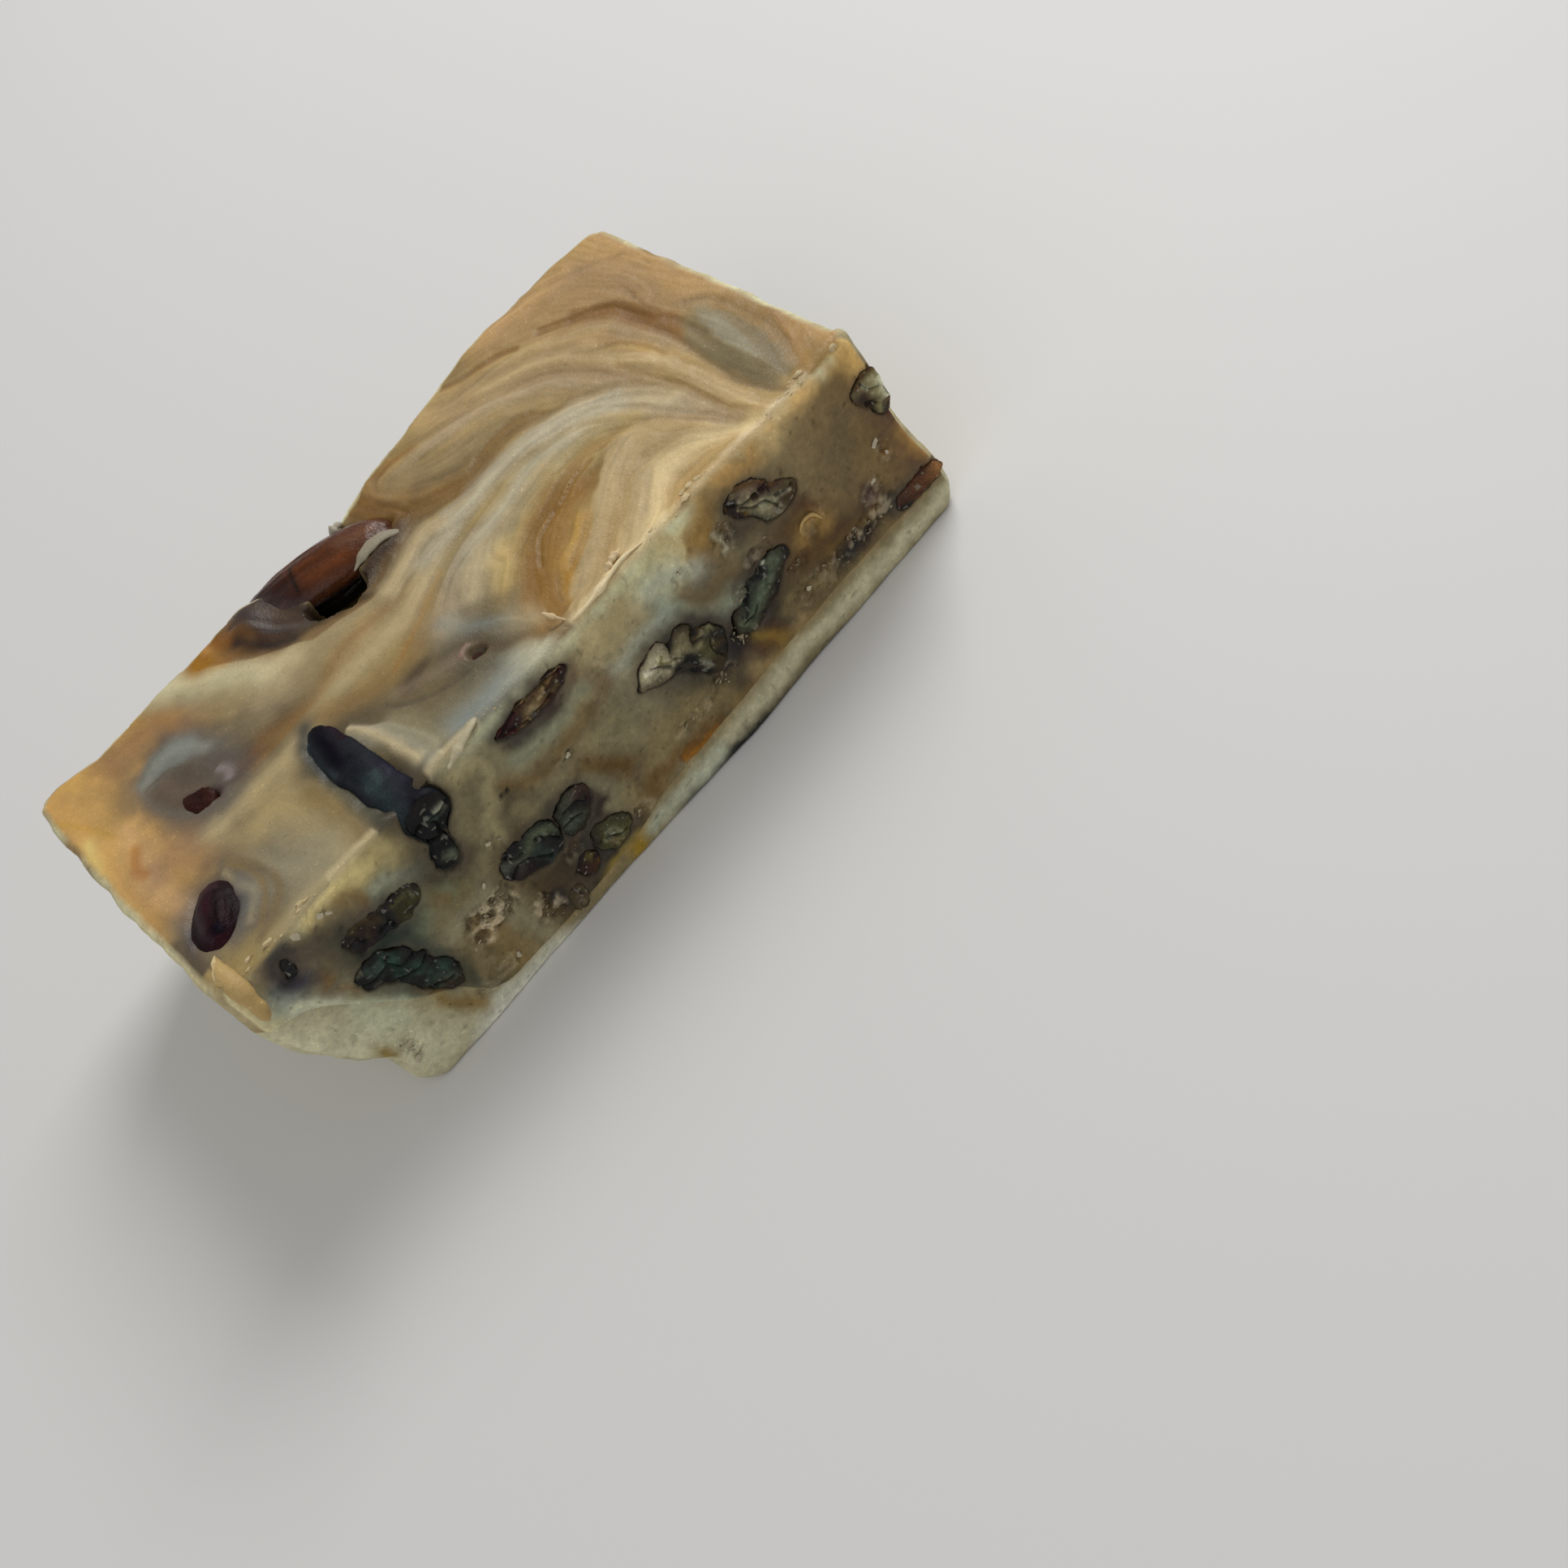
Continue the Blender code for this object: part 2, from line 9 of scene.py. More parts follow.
# %% Load the plain solids as the frame
import math
import bpy
import numpy as np
from mathutils import Matrix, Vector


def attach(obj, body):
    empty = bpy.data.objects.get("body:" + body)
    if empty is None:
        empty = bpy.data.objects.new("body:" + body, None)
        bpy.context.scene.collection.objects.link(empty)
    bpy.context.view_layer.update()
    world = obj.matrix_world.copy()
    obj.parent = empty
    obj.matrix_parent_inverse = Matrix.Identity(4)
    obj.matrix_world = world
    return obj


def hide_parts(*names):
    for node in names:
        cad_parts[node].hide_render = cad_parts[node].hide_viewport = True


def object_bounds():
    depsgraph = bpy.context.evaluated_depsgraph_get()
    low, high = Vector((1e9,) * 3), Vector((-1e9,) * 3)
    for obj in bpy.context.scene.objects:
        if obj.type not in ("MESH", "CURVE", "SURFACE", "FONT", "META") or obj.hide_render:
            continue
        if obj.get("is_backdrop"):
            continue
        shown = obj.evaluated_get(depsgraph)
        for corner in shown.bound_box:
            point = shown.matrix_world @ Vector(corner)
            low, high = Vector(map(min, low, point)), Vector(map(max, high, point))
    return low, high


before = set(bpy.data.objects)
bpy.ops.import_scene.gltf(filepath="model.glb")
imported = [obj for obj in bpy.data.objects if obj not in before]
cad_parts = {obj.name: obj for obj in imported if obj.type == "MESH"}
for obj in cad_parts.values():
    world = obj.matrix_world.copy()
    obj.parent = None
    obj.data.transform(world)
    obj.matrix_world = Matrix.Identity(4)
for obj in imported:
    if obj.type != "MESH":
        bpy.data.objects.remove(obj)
cad_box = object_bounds()
MM = 0.001
print("solids loaded:", len(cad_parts))

# %% [markdown]
# Small helpers for curves and grain
#
# Hand-cut food has no straight edge, so most sizes are short lists of knots read as
# rounded curves. Natural grain comes from a lattice of random heights joined smoothly,
# which can be worked out for a whole array of points at once.

# %% Curves and grain


def ease(value):
    """Smooth step: 3t^2 - 2t^3 of the value held between 0 and 1."""
    held = np.clip(value, 0.0, 1.0)
    return held * held * (3.0 - 2.0 * held)


def curve_at(value, knots, soft=0.0):
    """Straight lines through the knots, rounded by averaging five readings within soft."""
    places, sizes = zip(*knots)
    steps = (-1.0, -0.5, 0.0, 0.5, 1.0)
    return sum(np.interp(value + soft * step, places, sizes) for step in steps) / len(steps)


def lattice_height(cell, seed):
    """A fixed random height from -1 to 1 for each whole-number lattice corner."""
    mixed = (cell[..., 0] * 374761393 + cell[..., 1] * 668265263
             + cell[..., 2] * 2147483647 + seed * 1274126177) & 0xFFFFFFFF
    mixed = ((mixed ^ (mixed >> 13)) * 1274126177) & 0xFFFFFFFF
    mixed = ((mixed ^ (mixed >> 16)) * 2246822519) & 0xFFFFFFFF
    return (mixed ^ (mixed >> 15)) / 2147483647.5 - 1.0


def grain(points, size, seed):
    """Smooth 3-D grain: the eight corner heights round each point, eased together."""
    scaled = np.asarray(points, float) / size
    cell = np.floor(scaled).astype(np.int64)
    part = ease(scaled - cell)
    total = np.zeros(scaled.shape[:-1])
    for corner in np.ndindex(2, 2, 2):
        share = np.prod(np.where(corner, part, 1.0 - part), axis=-1)
        total = total + share * lattice_height(cell + np.array(corner), seed)
    return total


def rough(points, size, seed, octaves=3):
    """Grain at several sizes, each half the size and half the height of the last."""
    layers = [grain(points, size / 2 ** k, seed + k) / 2 ** k for k in range(octaves)]
    return sum(layers) / sum(1.0 / 2 ** k for k in range(octaves))


def smooth_path(points, count, closed=False):
    """Catmull-Rom curve: each stretch is a cubic through its two points, whose slopes
    are half the way between their neighbours; read at count even steps."""
    knots = np.asarray(points, float)
    if closed:
        knots = np.vstack([knots[-1], knots, knots[0], knots[1]])
        turns = len(points)
    else:
        knots = np.vstack([2 * knots[0] - knots[1], knots, 2 * knots[-1] - knots[-2]])
        turns = len(points) - 1
    t = np.linspace(0.0, turns, count, endpoint=not closed)
    first = np.minimum(t.astype(int), turns - 1)
    t = (t - first)[:, None]
    a, b, c, d = (knots[first + k] for k in range(4))
    return 0.5 * (2 * b + (c - a) * t + (2 * a - 5 * b + 4 * c - d) * t ** 2
                  + (3 * b - a - 3 * c + d) * t ** 3)


def beside(points, path):
    """Nearest distance from each 2-D point to a path, the side it lies on, and how far
    along the path that is, from 0 to 1."""
    best = np.full(len(points), 1e9)
    side = np.zeros(len(points))
    along = np.zeros(len(points))
    last = len(path) - 1
    for k in range(last):
        run = path[k + 1] - path[k]
        away = points - path[k]
        share = np.clip(away @ run / max(run @ run, 1e-9), 0.0, 1.0)
        gap = away - share[:, None] * run
        distance = np.hypot(gap[:, 0], gap[:, 1])
        near = distance < best
        turn = run[0] * away[:, 1] - run[1] * away[:, 0]
        best = np.where(near, distance, best)
        side = np.where(near, np.sign(turn), side)
        along = np.where(near, (k + share) / last, along)
    return best, side, along


def inside_distance(points, loop):
    """Distance to a closed loop, negative inside it (even-odd count of crossings)."""
    ring = np.vstack([loop, loop[:1]])
    distance = beside(points, ring)[0]
    odd = np.zeros(len(points), bool)
    for start, end in zip(ring[:-1], ring[1:]):
        crosses = (start[1] > points[:, 1]) != (end[1] > points[:, 1])
        slope = (end[0] - start[0]) / (end[1] - start[1] if end[1] != start[1] else 1e-9)
        odd ^= crosses & (points[:, 0] < start[0] + (points[:, 1] - start[1]) * slope)
    return np.where(odd, -distance, distance)


print("grain of a test point:", round(float(grain(np.array([[1.3, 2.7, 0.4]]), 1.0, 7)[0]), 3))

# %% [markdown]
# The slice's own walls
#
# The knife leans a little, the near end bellies out over a step from the tray, and the
# far end slants to its foot. These curves repeat the solid's named sizes, so the dressed
# slice and the plain one share their outline, and a little grain breaks the edges up.

# %% Walls, top and seam
HEIGHT = 31.0
FRONT_FOOT = -29.2
FRONT_LEAN = 2.7
BACK_FACE = 28.4
END_ROUND = 3.4
SIDE_ROUND = 0.7
TOP_ROUND = 1.3
ROUGH_NEAR = -55.0
ROUGH_LENGTH = 108.0

NEAR_END = ((0, -49.3), (8.5, -49.5), (10.5, -51.4), (14, -53.2), (19, -55), (25, -55.9),
            (31, -55.6))
FAR_END = ((0, 54.5), (5, 54.5), (10, 53.6), (15, 52.6), (20, 52.3), (25, 52.6), (31, 52.2))
FRONT_BULGE = ((-50, 0.4), (-20, 0.1), (0, 0.8), (12, 1.3), (24, 0.8), (55, 0.7))
BACK_EDGE = ((-57, 28.5), (-52, 28.6), (-46, 26.2), (-38, 26.9), (-30, 26.5), (-24, 26.6),
             (-19, 24.8), (-8, 23.6), (-4.5, 22.4), (-1.5, 24.3), (4, 26.6), (12, 27.6),
             (20, 29), (27, 31), (33, 31.2), (36, 30.4), (45, 30.8), (53, 29.2))
SEAM_FRONT = ((-58, 26), (-50, 23), (-47, 19), (-45, 14.8), (-42.5, 11.2), (-40, 7.9),
              (-37.5, 4.8), (-33, 2.7), (-24, 2.2), (-14, 2.3), (-8, 3.1), (-3, 4.3), (8, 4.9),
              (30, 5.3), (56, 4.7))
SEAM_INSIDE = ((-58, 26), (-50, 21), (-46, 14), (-42, 9), (-37, 6), (-28, 5), (56, 5.2))


def as_points(x, y, z):
    """Three arrays, or numbers, as one array of points."""
    return np.stack(np.broadcast_arrays(x, y, z), axis=-1).astype(float)


def round_inset(distance, radius):
    """Quarter circle: how far an edge draws in at a distance from its plane."""
    rise = np.clip(radius - distance, 0.0, radius)
    return radius - np.sqrt(radius * radius - rise * rise)


def near_x(y, z):
    """Near end: belly by height, bowed by a parabola across, and uneven."""
    bow = 1.1 * (1.0 - ((y - 10.0) / 39.0) ** 2) * ease(z / HEIGHT)
    uneven = 0.35 * rough(as_points(0.0, y, z), 5.0, 3)
    return curve_at(z, NEAR_END, 0.8) - bow + round_inset(z, END_ROUND) + uneven


def far_x(y, z):
    """Far end: slant by height, skewed a little across, and uneven."""
    uneven = 0.3 * rough(as_points(9.0, y, z), 4.0, 5)
    slant = curve_at(z, FAR_END, 1.5) + 0.04 * (y + BACK_FACE)
    return slant - round_inset(z, END_ROUND) + uneven


def front_y(x, z):
    """Front cut face: a leaning plane with a bulge that fades out above the foot."""
    bulge = curve_at(x, FRONT_BULGE, 2.0) * (1.0 - ease(z / 8.0))
    return FRONT_FOOT + FRONT_LEAN * z / HEIGHT - bulge + round_inset(z, SIDE_ROUND)


def back_y(x, z):
    """Back face: plane below, following the ragged top edge above."""
    edge = curve_at(x, BACK_EDGE, 0.8) + 0.4 * rough(as_points(x, 4.0, 0.0), 3.0, 9)
    blend = ease((z - 12.0) / (HEIGHT - 12.0))
    return BACK_FACE + (edge - BACK_FACE) * blend - round_inset(z, SIDE_ROUND)


def seam_z(x, y):
    """Seam height: front and inner curves, eased over the first 14 mm, and a wave."""
    inner = ease((y - FRONT_FOOT) / 14.0)
    height = (curve_at(x, SEAM_FRONT, 1.2) * (1.0 - inner)
              + curve_at(x, SEAM_INSIDE, 1.2) * inner)
    return height + 0.5 * inner * np.sin(x / 8.0) * np.cos(y / 9.0)


def plain_top(x, y):
    """The top as a twisted plane between its four corner heights."""
    across = (x - ROUGH_NEAR) / ROUGH_LENGTH
    deep = (y + BACK_FACE) / (2.0 * BACK_FACE)
    front = 0.7 - 1.7 * across
    back = -0.3 * across
    return HEIGHT + front + (back - front) * deep


print("top at the four corners:", [round(float(plain_top(x, y)), 2)
                                   for x in (-54.0, 51.0) for y in (-27.0, 28.0)])

# %% [markdown]
# A palette, and strokes to paint with
#
# Marbling could be a wave bent by noise, but then no band lies where the real one does.
# The two mixes were dragged with a comb, so it is drawn the same way: each stroke is a
# smooth path with a width, a colour and a rise or dip. Fine lines run along each stroke,
# because the colour also changes with the distance from its middle.

# %% Palette and strokes


def shade(tone, light=1.0):
    """A colour given as its web code, as seen on a screen, turned into linear light and
    divided by the share of light that reaches the surface it was seen on."""
    display = np.array([*bytes.fromhex(tone)]) / 255.0
    linear = np.where(display > 0.04045, ((display + 0.055) / 1.055) ** 2.4, display / 12.92)
    return np.minimum(linear / light, 0.92)


WHITE = shade("bcb192")
RIDGE = shade("d6be94")
CARAMEL = shade("a6875d")
BLACK = shade("0e0b0a")
TOP_CARAMEL = shade("3c3225")
TOP_TAN = shade("a28c59")


def pairs(row):
    """A flat row of numbers as points of two."""
    return np.reshape(row, (-1, 2))


def paint(colours, relief, places, strokes, seed, light=1.0):
    """Lay strokes over colours in turn. Across a stroke the strength falls as the bell
    exp(-1.5 s^2), s being the signed distance over the width, or as a crisp step where
    its edge is 1 (left of travel), -1 (right) or 2 (both). Wide soft strokes end in a
    round cap, the others fade out at both tips."""
    for number, (tone, width, strength, row, *more) in enumerate(strokes):
        rise, crisp = (*more, 0, 0)[:2]
        path = pairs(row)
        line = smooth_path(path, 8 * len(path))
        low, high = line.min(axis=0) - 2.6 * width, line.max(axis=0) + 2.6 * width
        near = np.all((places > low) & (places < high), axis=1)
        if not near.any():
            continue
        distance, side, along = beside(places[near], line)
        wobble = grain(as_points(places[near][:, 0], places[near][:, 1], number), 2.2, seed)
        across = side * distance / (width * (1.0 + 0.25 * wobble))
        bell = np.exp(-1.5 * across * across)
        step = ease((1.05 - np.abs(across)) / 0.35)
        chosen = (crisp == 2) | ((crisp == 1) & (across > 0)) | ((crisp == -1) & (across < 0))
        shape = np.where(chosen, step, bell)
        if crisp or width < 1.0:
            shape = shape * ease(along / 0.06) * ease((1.0 - along) / 0.06)
        cover = np.clip(strength * shape, 0.0, 1.0)[:, None]
        colours[near] = colours[near] * (1.0 - cover) + shade(tone, light) * cover
        relief[near] += rise * shape


def blot(colours, places, tone, centre, half, strength, turn=0.0, soft=0.5):
    """A soft oval of colour, full inside and eased out over soft times its size."""
    away = places - np.array(centre)
    angle = math.radians(turn)
    u = (away[:, 0] * math.cos(angle) + away[:, 1] * math.sin(angle)) / half[0]
    v = (away[:, 1] * math.cos(angle) - away[:, 0] * math.sin(angle)) / half[1]
    uneven = 0.12 * grain(as_points(places[:, 0], places[:, 1], half[0]), 1.6, 58)
    reach = np.hypot(u, v) + uneven
    cover = (strength * ease((1.0 + 0.5 * soft - reach) / soft))[:, None]
    colours[:] = colours * (1.0 - cover) + shade(tone) * cover


def warped(places, reach, size, seed):
    """2-D places pushed about by grain, so that what is drawn there gets torn edges."""
    solid = as_points(places[:, 0], places[:, 1], 2.0)
    push = [rough(solid, size, seed, 3), rough(solid, size, seed + 40, 3)]
    return places + reach * np.stack(push, axis=-1)


print("palette holds", len((WHITE, RIDGE, CARAMEL, BLACK, TOP_CARAMEL, TOP_TAN)), "tones")

# %% [markdown]
# The combed swirl on the top
#
# Seen from above, the bands gather at the front edge near the far end, fan out along Y
# and bend round towards the near end. Each entry gives tone, half width, strength and
# path in millimetres (x, y, x, y ...), then its rise and which side has a sharp edge.

# %% Strokes of the top
TOP_FAN = (
    ("d1a085", 6.8, 0.45, (34, 29, 42, 26, 52, 20)),
    ("f6ca71", 38.7, 0.4, (49, 29, 51, 5)),
    ("655b55", 3.2, 0.6, (46, 23, 48, 14, 46, 6, 49, 0), 0.05),
    ("c49c62", 4.3, 1, (53, 27, 52, 10, 54, -8, 51, -25)),
    ("8f7141", 3, 1, (50, -4, 50, -12, 48, -20, 44, -26)),
    ("956b3c", 0.6, 0.6, (52.5, -8.1, 50.6, -15.2, 46.9, -22), 0.05),
    ("b69058", 1.2, 0.7, (52.6, -12.5, 49.9, -18, 45.2, -25)),
    ("aa8859", 10.1, 1, (44, 4, 44, 14, 42, 20)),
    ("886436", 2.3, 1, (42.8, -6.9, 43.6, -0.2, 43, 10, 41.7, 13.4, 38.2, 18.8), -0.15, -1),
    ("d4caa8", 1, 0.2, (41.3, -5.5, 41.6, 0.1, 40.8, 6.1, 39.6, 12.1, 35.8, 15.9, 31.5, 20.3,
     25.8, 22.2, 17.2, 24.1), 0.1),
    ("815926", 1, 0.8, (43.7, 3.2, 43.2, 11.5, 41.9, 14.4, 38.5, 18.1, 34.7, 21.9), -0.25, 2),
    ("794f16", 0.8, 0.7, (32.2, 21.4, 30.1, 23.5, 26.6, 25.1, 23.1, 26.2, 20.4, 28.4), -0.2, -1),
    ("ebc884", 6.4, 0.6, (17, 27, 22, 19, 29, 16, 34, 12)),
    ("f6da97", 1.5, 0.8, (23.8, 20.5, 30.3, 16.5, 34.7, 10.8, 36, 3.8, 37.8, -1.7), 0.1),
    ("d4af62", 0.8, 0.6, (33.8, 12.5, 35.4, 8.9, 38.2, 5.7, 39.1, 1.6, 39.2, -3), -0.1, 1),
    ("8b7256", 7.3, 0.7, (20, 21, 32, 13, 34, 0)),
    ("bfab8c", 1.2, 0.5, (5.1, 22, 12, 21.2, 19.6, 18.6, 25.9, 14.4, 30, 10.1, 31.6, 3.5, 34.2,
     -2), 0.1, -1),
    ("988259", 4.2, 0.9, (7, 21, 12, 16, 19, 14, 24, 10)),
    ("463d2d", 2.4, 0.45, (8, 16, 13, 12, 20, 10)),
    ("9c825d", 0.6, 0.6, (25.1, 17.4, 30.1, 13, 32.3, 7.8, 34.1, 2.3, 34.9, -3.6, 35.4, -9),
     -0.1, 1),
    ("b9a47d", 1.1, 0.35, (13, 19.9, 20.7, 17, 26.6, 12.5, 28.7, 6.7), 0.05),
    ("9a804f", 2.3, 0.6, (13, 10, 20, 10, 25, 8, 30, 4)),
    ("785726", 2.6, 0.6, (35.6, -10.2, 33.5, -5.2, 31.1, -0.2, 27.8, 2.8, 23.8, 6.2, 20.1, 9.6,
     12.4, 8.6, 8.6, 10, 3.6, 13.1, 2.8, 16.1), -0.2, -1),
    ("b8a37a", 2.2, 1, (34.6, -12.4, 34, -6.6, 31, -0.4, 26.7, 3.8, 20.5, 5.1, 14, 5.2, 6.8, 5.6,
     2.5, 8.4, -4.3, 5.6, -8.8, 3.9), 0.2, 1),
    ("a0a39e", 1, 0.3, (31.8, -0.8, 26.7, 2.9, 20.5, 6.6, 14.1, 6.8, 6.3, 7.7), 0.1),
    ("b6ab8e", 2.4, 1, (30, -2, 19, 5, 0, 4)),
    ("d9caab", 3.5, 0.35, (33, -14, 30, -5, 26, 1, 18, 0, 11, -2, 4, -1, -3, -4, -6, -9), 0.12),
    ("8a6e1f", 1.1, 0.35, (31.5, -9.7, 28.5, -3.3, 25.9, 0.2, 21.1, 2.1, 17.2, 3.7, 13.3, 3.8,
     6.6, 2.4, 0, 0.1, -9.2, -5.5), -0.12, 1),
    ("b6b199", 1.7, 0.6, (24.2, -1, 18, 1.6, 11.4, -0.2, 4.2, -1.6), -0.06),
    ("8c8160", 1.3, 0.7, (30.2, -10.6, 28.2, -6.9, 25.5, -3.2, 21.2, -2.5, 15.9, -2.1, 11, -2.8,
     7.1, -5.5), -0.12, 1),
    ("cab37a", 2.7, 1, (28, -8, 24, -5, 17, -5, 11, -8, 5, -9), 0.1),
    ("dbbf7f", 2.9, 1, (5, -6, 5, -9, 3, -11), 0.1),
    ("c0ae87", 2.7, 0.9, (5, -3, -1, -8), 0.1),
    ("ba9c68", 2.6, 1, (39, -4, 42, -26)),
    ("c2a574", 1.3, 0.8, (39.1, -27.4, 38.2, -18.3, 38.6, -7.8, 38.2, -0.8, 36.1, 4.2), 0.15, 2),
    ("d1b785", 0.4, 0.7, (38.3, -26.1, 38.3, -16, 38.7, -6, 38.1, 0.4), 0.1),
    ("a88a5b", 0.6, 0.7, (38.6, -25.6, 36.6, -17.9, 36.7, -9, 35.8, -2.1, 35.5, 4.1), -0.1, -1),
    ("7e6842", 0.8, 0.8, (41.9, -26.2, 40.8, -16.9, 41.8, -9.5, 42.1, -4.6), -0.06),
    ("d0b98e", 0.7, 0.3, (35.7, -21.8, 35.5, -8.4)),
)
TOP_FOLD = (
    ("956e32", 5.4, 1, (18, -9, 14, -9, 5, -17, 3, -22)),
    ("7e5716", 1.7, 0.6, (31.8, -15, 29.2, -9.1, 26.9, -6.1, 22.3, -4.4, 18.1, -5.1, 13.5, -6.5,
     9.3, -7.9, 5, -13.1, 0.9, -18.6), -0.2, 1),
    ("8a652a", 0.45, 0.7, (23.2, -6.2, 18.9, -6.7, 15.7, -8.1, 10.6, -9.7, 8.2, -11.7, 6.3,
     -14.3), -0.3, 2),
    ("be954b", 1.5, 0.7, (14.3, -13.1, 11.8, -15, 8.6, -16.5, 7.2, -19.9), 0.12),
    ("a37418", 0.9, 0.8, (16.9, -13.3, 11.6, -16.9, 7, -19, 4.1, -22.8), -0.1),
    ("bba070", 3.9, 1, (33.3, -21, 29.4, -14.5, 27.1, -11.2, 23.4, -11.7, 18.6, -16.5, 11.8,
     -22.3, 3.1, -27.8), 0.25, -1),
    ("c4ad80", 1.4, 0.8, (26.2, -9.2, 20.2, -11.9, 14.1, -16.5, 6.2, -21.8), 0.1),
    ("aa8d5b", 1.3, 0.7, (33.3, -21.6, 31.6, -16.2, 27.6, -14.7, 22.2, -14.2, 18.2, -17.3, 13.2,
     -20.3, 10.2, -23.5), -0.12, 1),
    ("eed49e", 3.8, 0.9, (34, -25, 32, -22, 26, -18, 25, -18, 20, -23, 13, -27), 0.15),
    ("b4935a", 2.2, 0.8, (33, -25.4, 29.9, -22.1, 26.2, -22.1, 23.9, -22.1, 21.2, -25.5), -0.1,
     1),
    ("a0865f", 1.1, 0.9, (36.1, -21.5, 33.6, -15.9, 32.2, -12), -0.06),
    ("cba260", 1.2, 0.45, (21.5, -25.4, 25.8, -24.4, 29.6, -26.1)),
)
TOP_NEAR = (
    ("e6b165", 4.4, 0.7, (-55, 26, -54, 14, -57, -8)),
    ("efd986", 1.3, 0.6, (-54.4, 13.4, -56.6, 4, -56.3, -4)),
    ("ddad5f", 6.7, 1, (-49, 28, -45, 18, -47, 8, -48, -2)),
    ("c29731", 0.7, 0.45, (-56.2, 22.7, -53.4, 16.7, -50.5, 6.8), -0.05),
    ("6a5c45", 3.1, 0.6, (-46, 26, -45, 20, -48, 13)),
    ("deb278", 2.4, 0.7, (-50, 9, -51, 3, -52, -4, -51, -10), 0.05),
    ("b97920", 1.1, 0.7, (-50.8, 5.4, -52.2, 2.6, -51.9, 0.5)),
    ("9b754c", 4.9, 0.8, (-45, 22, -38, 21, -36, 16)),
    ("c28922", 2.8, 0.2, (-40, 26, -37, 22, -36, 19)),
    ("16164f", 6.5, 0.45, (-48, -1, -38, -5)),
    ("dad0a5", 4.5, 0.9, (-34, 27, -25, 16, -23, 12)),
    ("d3bc8d", 5.4, 0.45, (-27, 8, -25, 7, -18, 9, -11, 5), 0.1),
    ("865416", 2, 0.45, (-40.1, 0.8, -30.9, 2, -22.7, 0.4, -15.1, 3.5, -8.4, 2.3, -3, 2), -0.05),
    ("875a16", 0.9, 0.5, (-35.3, -0.4, -28, 0, -20.1, 0.3, -13.3, 1.9), -0.05),
    ("bca87b", 3.1, 1, (-42, -3, -29, -4, -18, -1, -8, -1, 0, 3), 0.1),
    ("9a7a43", 3.2, 0.8, (-24, -3, -17, -7, -9, -7, -4, -4), -0.05),
    ("a47b3e", 0.7, 0.7, (-14.9, -7.3, -9.8, -5.1, -5, -2.4, 0.3, 0.4), -0.08),
    ("af9969", 6, 1, (-38, -9, -35, -9, -34, -16)),
    ("988e71", 7.2, 1, (-42, -16, -38, -20, -37, -24)),
    ("aa9b75", 3.1, 1, (-47, -29, -41, -25, -35, -26, -33, -21)),
    ("805f16", 1.8, 0.45, (-31.8, -11.5, -31.3, -17.9, -31.9, -26)),
    ("162831", 11.7, 0.45, (-22, -12, -16, -16, -8, -17)),
    ("54432c", 2.2, 1, (-15, -11, -12, -11, -15, -12), -0.1),
    ("898e86", 4, 1, (-15, -23, -11, -24, -5, -24, 0, -25), 0.1),
    ("696d65", 1.6, 0.9, (-6, -7.7, -4.9, -11.6, -1.6, -15.7, 0.3, -19.5), 0.1),
    ("d1cead", 5.2, 0.8, (3, -18, -2, -25), 0.1),
    ("442e16", 1.6, 0.7, (-6.1, -15.2, -4.3, -18.6, -1.3, -20.8, 1.4, -26), -0.12),
    ("9c9681", 1.7, 1, (-24.7, -8.7, -22.3, -12.5, -20.7, -14.9, -19.6, -21, -20.3, -26.1), 0.25,
     1),
    ("988e6d", 2.4, 0.7, (-19, -14, -18, -16, -18, -22)),
    ("c1af82", 0.9, 0.7, (-45.4, -9.3, -45.2, -13.2, -44.6, -16.6, -47.7, -20.1), 0.1),
    ("987b3e", 0.7, 0.7, (-44.1, -8.4, -42.8, -13.6, -43.6, -17.8, -47.1, -22.1), -0.1),
    ("7f6d4d", 1, 0.9, (-43.4, -8.9, -41.9, -14.1, -42.1, -19.3, -47.3, -23.1), 0.08),
    # Dark brown strip beside the purple pecan: painted shadow.
    ("442c16", 1.2, 1, (-52.5, -13.2, -54.2, -15.4, -54.4, -19.8)),
    ("855416", 3.8, 1, (-26, 27, -24, 22, -20, 16)),
    ("171925", 2.4, 1, (-20, 25, -19, 18, -17, 15, -12, 10), -0.2),
    ("c9944e", 1.2, 0.9, (-26.9, 26.4, -26.7, 21.2, -22.6, 18.1), 0.1),
    ("694516", 1.4, 0.6, (-30.2, 25.6, -26.2, 21.4, -23, 17, -18.8, 13.5, -16, 10.3, -10.8, 8.5,
     -7.1, 7.3, -1.4, 10.2, 3, 12), -0.15, -1),
    ("2f2716", 0.8, 0.7, (-17.4, 12.8, -14.2, 10.5, -10.3, 8.7, -6.6, 6.8, -1.4, 10), 0.2),
    ("a06e16", 2.5, 1, (-28, 27, -29, 24, -28, 23)),
    ("1e1616", 1.8, 0.9, (-23.4, 20, -20.9, 15.5, -18.3, 13.2), -0.25),
    ("6d4d16", 2.6, 0.8, (-0.1, 24.7, 0.3, 21.3, 2.2, 13.3), -0.35, 1),
    ("7d4f16", 4.7, 0.6, (5, 25, 4, 21, 8, 13, 12, 10)),
    ("825616", 1.3, 1, (6.7, 24.3, 8.9, 24.3, 11.9, 23)),
    ("271616", 1.6, 1, (-8.3, 9.4, -3.5, 11.3, -0.1, 11.3, 2.2, 13.8), 0.35),
)
